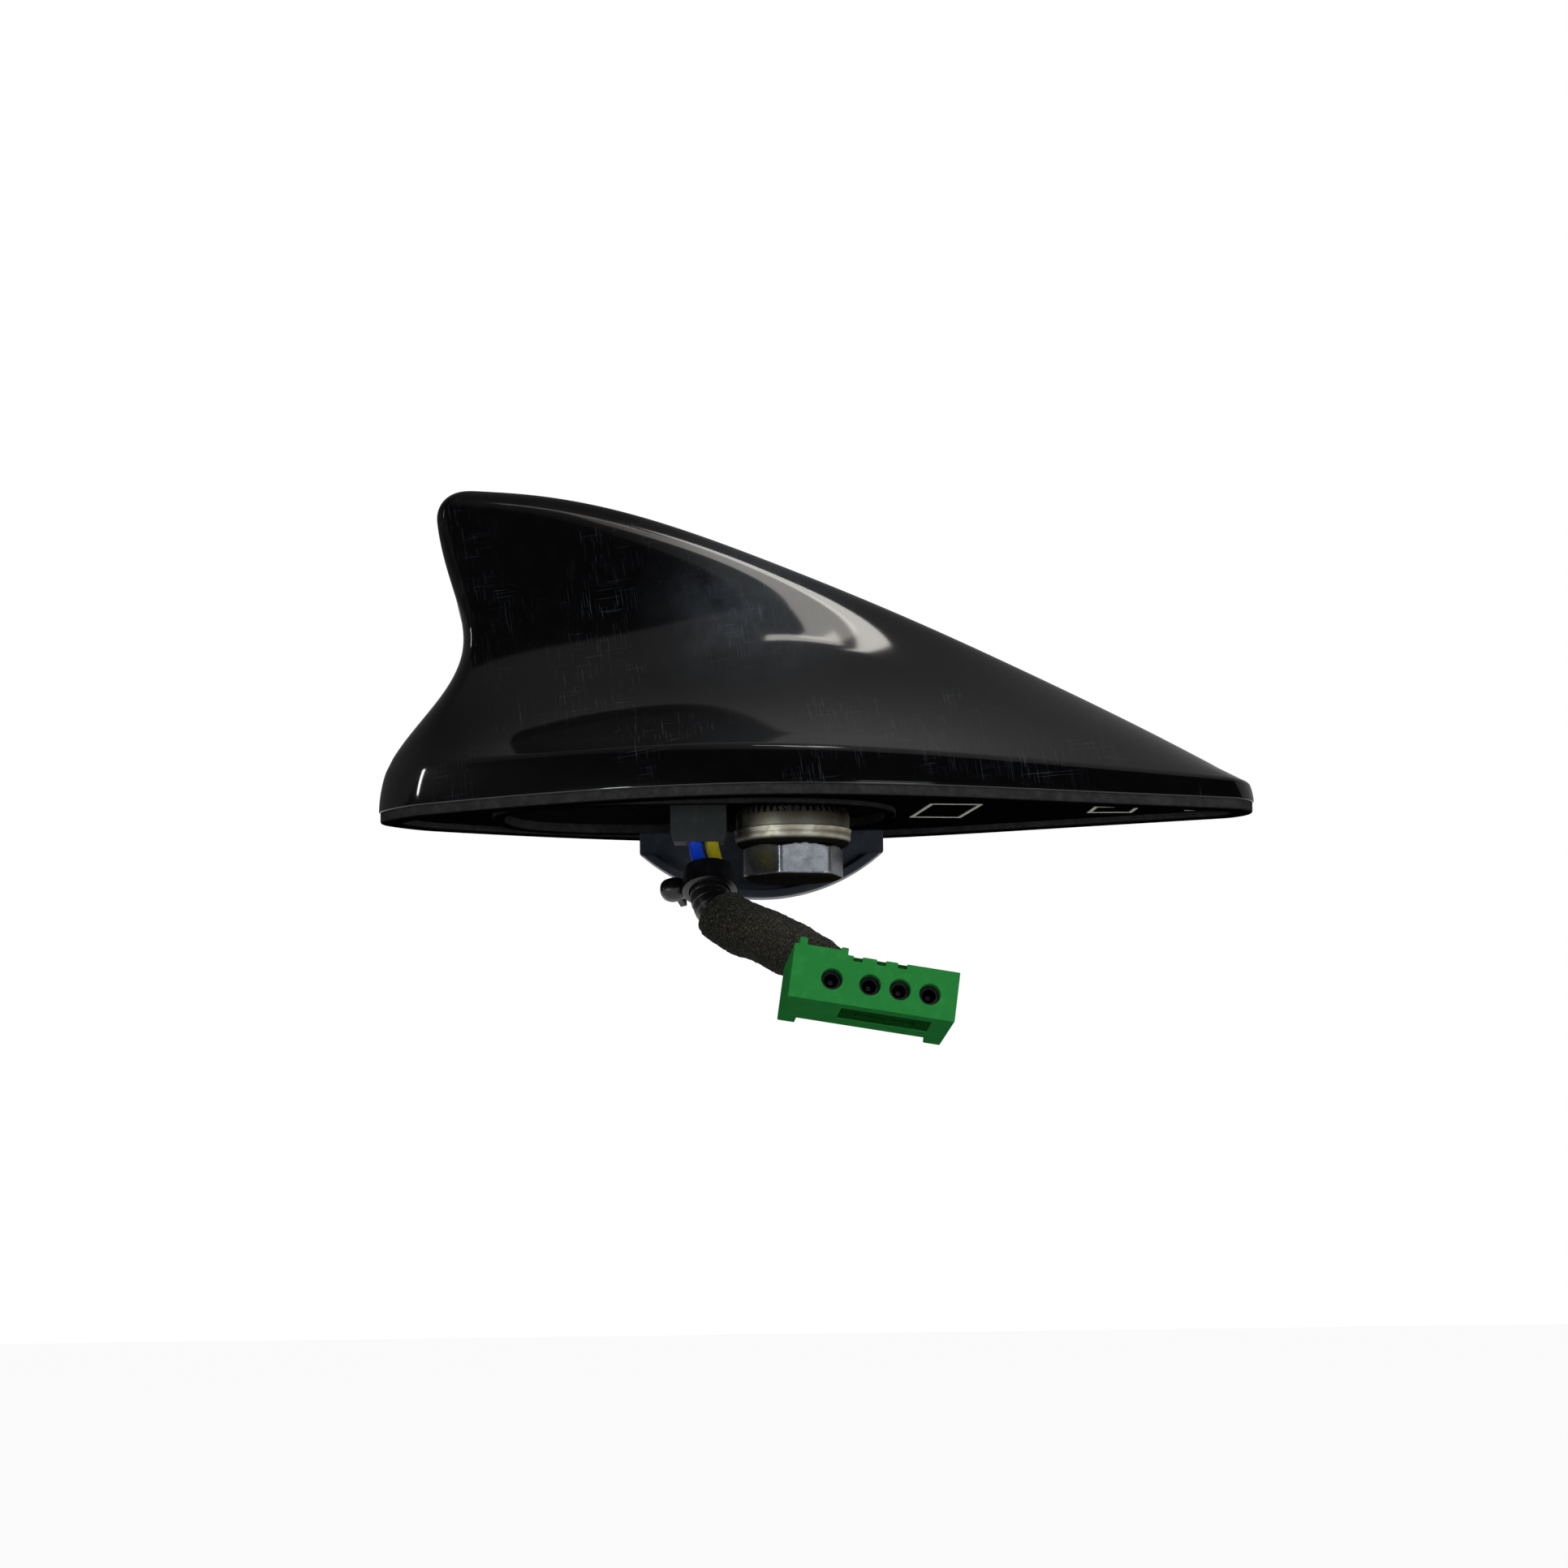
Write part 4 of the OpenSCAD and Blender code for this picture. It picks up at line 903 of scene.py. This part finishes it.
def make_seal():
    """A lip with a groove along it, the web inside it, and the bead round the recess."""
    lip_end = SEAL_INSET + SEAL_LIP
    web = SEAL_T - SEAL_WEB
    edge = SEAL_INSET
    lip = [(edge, SEAL_T), (edge, 0.45), (edge + 0.08, 0.2), (edge + 0.3, 0.04), (edge + 0.6, 0),
           (edge + 1.3, 0), (edge + 1.6, 0.35), (edge + 2.2, 0.35), (edge + 2.5, 0), (lip_end - 0.4, 0),
           (lip_end - 0.1, 0.1), (lip_end, 0.35), (lip_end, web)]
    rows = [outline(g, z) for g, z in lip]
    loop = rows[-1]
    bead = [(SEAL_BEAD, web), (SEAL_BEAD, 0.5), (SEAL_BEAD - 0.25, 0.2), (0.25, 0.2), (0, 0.5),
            (0, SEAL_T)]
    rows += [oval(g, z, loop) for g, z in bead]
    return around(rows, wrap=True)


piece("roof_seal", make_seal(), "seal_rubber", ["base_seal"], crisp=50)


# Bolt and collar

BOLT_D, BOLT_AF, BOLT_HEAD_H, BOLT_GRIP = 10.0, 17.0, 6.2, 11.0
THREAD_PITCH, THREAD_DEPTH, THREAD_STEP = 1.5, 0.45, 0.12
HEAD_TURN = 15
COLLAR_D, COLLAR_H, COLLAR_TEETH, TOOTH_H, CROWN_W = 21.8, 7.2, 48, 1.1, 2.2
# The teeth are cut deeper here than in the solid
TOOTH_CUT = TOOTH_H + 0.35
POINTS_PER_TOOTH = 10
COLLAR_TOP = SEAL_T - 0.1
COLLAR_BOTTOM = COLLAR_TOP - COLLAR_H


def make_bolt():
    """Hexagon head, chamfered at both faces, and a shank whose thread starts above the collar."""
    turn = np.linspace(0, 2 * math.pi, 180, endpoint=False)
    flat = BOLT_AF / 2 / np.cos((turn + math.pi / 6) % (math.pi / 3) - math.pi / 6)
    corner = BOLT_AF / 2 / math.cos(math.pi / 6)
    hexagon = np.minimum(flat, corner - 0.12)
    low = COLLAR_BOTTOM - BOLT_HEAD_H
    spin = turn + math.radians(HEAD_TURN + 30)

    def row(radius, z):
        radius = np.broadcast_to(radius, turn.shape)
        return np.stack([radius * np.cos(spin), radius * np.sin(spin), np.full(len(turn), z)], -1)

    washer = BOLT_AF / 2 * 0.95
    rows = [row(r, low + 0.35) for r in (0.6, 4.2)]
    rows += [row(4.5, low + 0.3), row(5.2, low), row(washer - 0.3, low)]
    for t in np.linspace(0, 1, 8):
        rows.append(row(np.minimum(hexagon, washer + 2.2 * t), low + 1.1 * t ** 1.3))
    rows.append(row(hexagon, low + 1.35))
    rows.append(row(hexagon, COLLAR_BOTTOM - 0.7))
    for t in np.linspace(0, 1, 5):
        rows.append(row(np.minimum(hexagon, corner - 1.3 * t), COLLAR_BOTTOM - 0.6 * (1 - t)))
    shank = BOLT_D / 2
    rows.append(row(shank + 0.2, COLLAR_BOTTOM))
    end = SEAL_T + BOLT_GRIP - 0.5
    for z in np.arange(COLLAR_BOTTOM + 0.1, end, THREAD_STEP):
        phase = (z / THREAD_PITCH - turn / (2 * math.pi)) % 1
        cut = THREAD_DEPTH * (1 - 2 * np.abs(phase - 0.5)) * min(max((z - COLLAR_TOP) / 1.5, 0), 1)
        rows.append(row(np.minimum(shank - cut, shank - 0.8 + (end - z)), z))
    rows.append(row(shank - 1.4, end))
    return around(rows, first_cap=True, last_cap=True)


def make_collar():
    """Turned ring with a rolled band, a bevelled foot and a crown of pointed teeth."""
    turn = np.linspace(0, 2 * math.pi, COLLAR_TEETH * POINTS_PER_TOOTH, endpoint=False)
    phase = (turn * COLLAR_TEETH / (2 * math.pi)) % 1
    spike = np.clip(1.35 - 1.7 * np.abs(2 * phase - 1), 0, 1) ** 0.8
    root = COLLAR_TOP - TOOTH_CUT
    r = COLLAR_D / 2
    bore = BOLT_D / 2 + 0.3
    low = COLLAR_BOTTOM
    crown = r - CROWN_W
    section = [(bore, low + 0.2, 0), (bore + 0.2, low, 0), (r - 1.3, low, 0), (r - 0.85, low + 0.15, 0),
               (r - 0.42, low + 0.5, 0), (r - 0.16, low + 0.95, 0), (r - 0.03, low + 1.5, 0),
               (r, low + 2.0, 0), (r - 0.02, low + 2.6, 0), (r + 0.14, low + 2.95, 0),
               (r + 0.14, low + 3.08, 0), (r - 0.2, low + 3.2, 0), (r - 0.24, low + 3.5, 0),
               (r - 0.2, root - 0.2, 0), (r - 0.3, root, 0), (r - 0.4, root, 0.5), (r - 0.75, root, 1),
               (crown + 0.5, root, 1), (crown, root, 0.4), (crown, root - 0.1, 0),
               (crown, root - 0.4, 0), (bore + 0.2, root - 0.4, 0), (bore, root - 0.6, 0)]
    rows = []
    for radius, z, tooth in section:
        height = z + tooth * TOOTH_CUT * spike
        rows.append(np.stack([radius * np.cos(turn), radius * np.sin(turn), height], -1))
    return around(rows, wrap=True)


piece("hex_bolt", make_bolt(), "bolt_zinc", ["fixing_bolt"], crisp=28)
piece("toothed_collar", make_collar(), "collar_zinc", ["earthing_collar"], crisp=38)
softened("retainer", "half_moon_retainer", "retainer_nylon", 0.35)
softened("cable_outlet", "outlet_block", "outlet_grey", 0.2)
softened("base_plate", "base_moulding", "plate_black", 0.15)

# Inner pieces and marks keep their solids and get their finishes
KEPT = {
    "cover_gasket": "gasket_rubber", "cover_screws": "screw_steel", "main_board": "board_green",
    "board_screws": "screw_steel", "shield_can": "tin_plate", "gnss_patch": "patch_ceramic",
    "gnss_electrode": "patch_silver", "gnss_pin": "pin_brass", "fin_board": "board_green",
    "fin_bracket": "bracket_black", "top_load": "tin_plate", "lte_front": "element_brass",
    "lte_rear": "element_brass", "foam_spacer": "spacer_foam", "label_a": "mark_grey",
    "label_b": "mark_grey", "label_c": "mark_grey",
}
for node, slot in KEPT.items():
    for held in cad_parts[node].material_slots:
        held.material = FINISHES[slot].material


# Studio: pale floor, white backdrop, grey ceiling over dark walls, and soft lamps

FLOOR_Z = -170.0
FLOOR_SIDE = 6000.0
FLOOR_COLOUR = (0.6, 0.6, 0.6, 1)
FLOOR_SHARE = 0.95
BACKDROP_AT = (0.0, 2500.0, 0.0)
BACKDROP_SIDE = 1500.0
BACKDROP_COLOUR = (0.9, 0.9, 0.9, 1)
WHITE = (1, 1, 1, 1)
WALL_GREY = 0.008
CEILING_LEFT = 0.1
CEILING_RIGHT = 0.29
# Height of the ceiling's edge over the horizon, in degrees
CEILING_EDGE = 33.0
# How much lower the ceiling reaches behind the aerial, in halves of a sine
BEHIND_LIFT = 0.26


def lit_for_eye(name, colour, share=1.0, see_through_back=False):
    """A pale card that the eye and mirrors see as white by a share. The rest keeps its shadows."""
    f = Finish(name)
    eye = f.node("ShaderNodeLightPath", outlet="Is Camera Ray")
    mirror = f.node("ShaderNodeLightPath", outlet="Is Glossy Ray")
    glass = f.node("ShaderNodeLightPath", outlet="Is Transmission Ray")
    white = f.node("ShaderNodeEmission", None, {"Color": WHITE, "Strength": 1.0}, "Emission")
    f.set({"Base Color": colour, "Roughness": 0.9, "Specular IOR Level": 0.1})
    base = Wire(f, f.shader.outputs[0])
    seen = f.node("ShaderNodeMixShader", None, [(eye + mirror + glass) * share, base, white])
    if see_through_back:
        behind = f.node("ShaderNodeNewGeometry", outlet="Backfacing")
        clear = f.node("ShaderNodeBsdfTransparent")
        seen = f.node("ShaderNodeMixShader", None, [behind, seen, clear])
    f.join(f.tree.nodes["Material Output"].inputs["Surface"], seen)
    return f


def card(name, side, at, turn, finish):
    """A square card on the stage, turned by angles in degrees."""
    h = side / 2 * MM
    mesh = bpy.data.meshes.new(name)
    mesh.from_pydata([(-h, -h, 0), (h, -h, 0), (h, h, 0), (-h, h, 0)], [], [(0, 1, 2, 3)])
    made = bpy.data.objects.new(name, mesh)
    bpy.context.scene.collection.objects.link(made)
    mesh.materials.append(finish.material)
    made.location = Vector(at) * MM
    made.rotation_euler = [math.radians(a) for a in turn]


def lamp(name, azimuth, elevation, distance, size, watts, colour, mirrored=True):
    """A soft lamp that faces the aerial, at an azimuth from the camera's side towards the nose."""
    a, e = math.radians(azimuth), math.radians(elevation)
    at = distance * Vector((math.sin(a) * math.cos(e), -math.cos(a) * math.cos(e), math.sin(e)))
    made = bpy.data.objects.new(name, bpy.data.lights.new(name, "AREA"))
    bpy.context.scene.collection.objects.link(made)
    made.data.shape = "RECTANGLE"
    made.data.size, made.data.size_y = (s * MM for s in size)
    made.data.energy = watts
    made.data.color = colour
    made.location = at * MM
    made.rotation_euler = (-at).to_track_quat("-Z", "Y").to_euler()
    made.visible_glossy = mirrored


def light_world():
    """White to the eye. To the object, a grey ceiling over dark walls, paler towards the nose."""
    world = bpy.data.worlds.new("studio")
    bpy.context.scene.world = world
    world.use_nodes = True
    f = Nodes(world.node_tree)
    shade = f.tree.nodes["Background"]
    direction = f.node("ShaderNodeTexCoord", outlet="Generated")
    parts = f.node("ShaderNodeSeparateXYZ", None, [direction]).socket.node
    right, ahead, height = (Wire(f, parts.outputs[axis]) for axis in "XYZ")
    edge = math.sin(math.radians(CEILING_EDGE)) / 2 + 0.5
    lift = f.ramp(ahead * 0.5 + 0.5, (0.35, 0.0), (0.6, BEHIND_LIFT))
    above = f.ramp(height * 0.5 + 0.5 + lift, (edge - 0.004, 0.0), (edge + 0.008, 1.0))
    ceiling = f.ramp(right * 0.5 + 0.5, (0.25, CEILING_LEFT), (0.6, CEILING_RIGHT))
    sky = f.mix(above, (WALL_GREY, WALL_GREY, WALL_GREY, 1), ceiling)
    eye = f.node("ShaderNodeLightPath", outlet="Is Camera Ray")
    glass = f.node("ShaderNodeLightPath", outlet="Is Transmission Ray")
    f.join(shade.inputs["Color"], f.mix(eye + glass, sky, WHITE))
    shade.inputs["Strength"].default_value = 1.0


light_world()
floor_white = lit_for_eye("floor_white", FLOOR_COLOUR, FLOOR_SHARE, see_through_back=True)
card("floor", FLOOR_SIDE, (0, 0, FLOOR_Z), (0, 0, 0), floor_white)
backdrop_white = lit_for_eye("backdrop_white", BACKDROP_COLOUR)
card("backdrop", BACKDROP_SIDE, BACKDROP_AT, (90, 0, 0), backdrop_white)
lamp("key", 32, 61.5, 1100, (120, 130), 0.55, (1.0, 0.97, 0.92))
lamp("key_soft", 18, 55, 1100, (210, 200), 0.6, (1.0, 0.96, 0.9))
lamp("key_low", 7, 60.5, 1100, (260, 90), 0.5, (1.0, 0.96, 0.9))
lamp("rear_glint", -77, 18, 900, (34, 190), 0.6, (1.0, 1.0, 1.0))
lamp("soft_overhead", 10, 50, 1200, (900, 900), 7, (1.0, 0.98, 0.95), mirrored=False)
lamp("front_fill", 34, 0, 1100, (400, 260), 4, (0.96, 0.98, 1.0), mirrored=False)
lamp("low_right", 33, 1, 1100, (240, 300), 0.2, (0.94, 0.98, 1.0))
lamp("low_left", -42, -3.5, 1100, (110, 190), 1.8, (0.92, 0.97, 1.0))
lamp("under_right", 30, -5, 1100, (260, 110), 0.5, (0.94, 0.98, 1.0))
bpy.context.scene.view_settings.view_transform = "Standard"
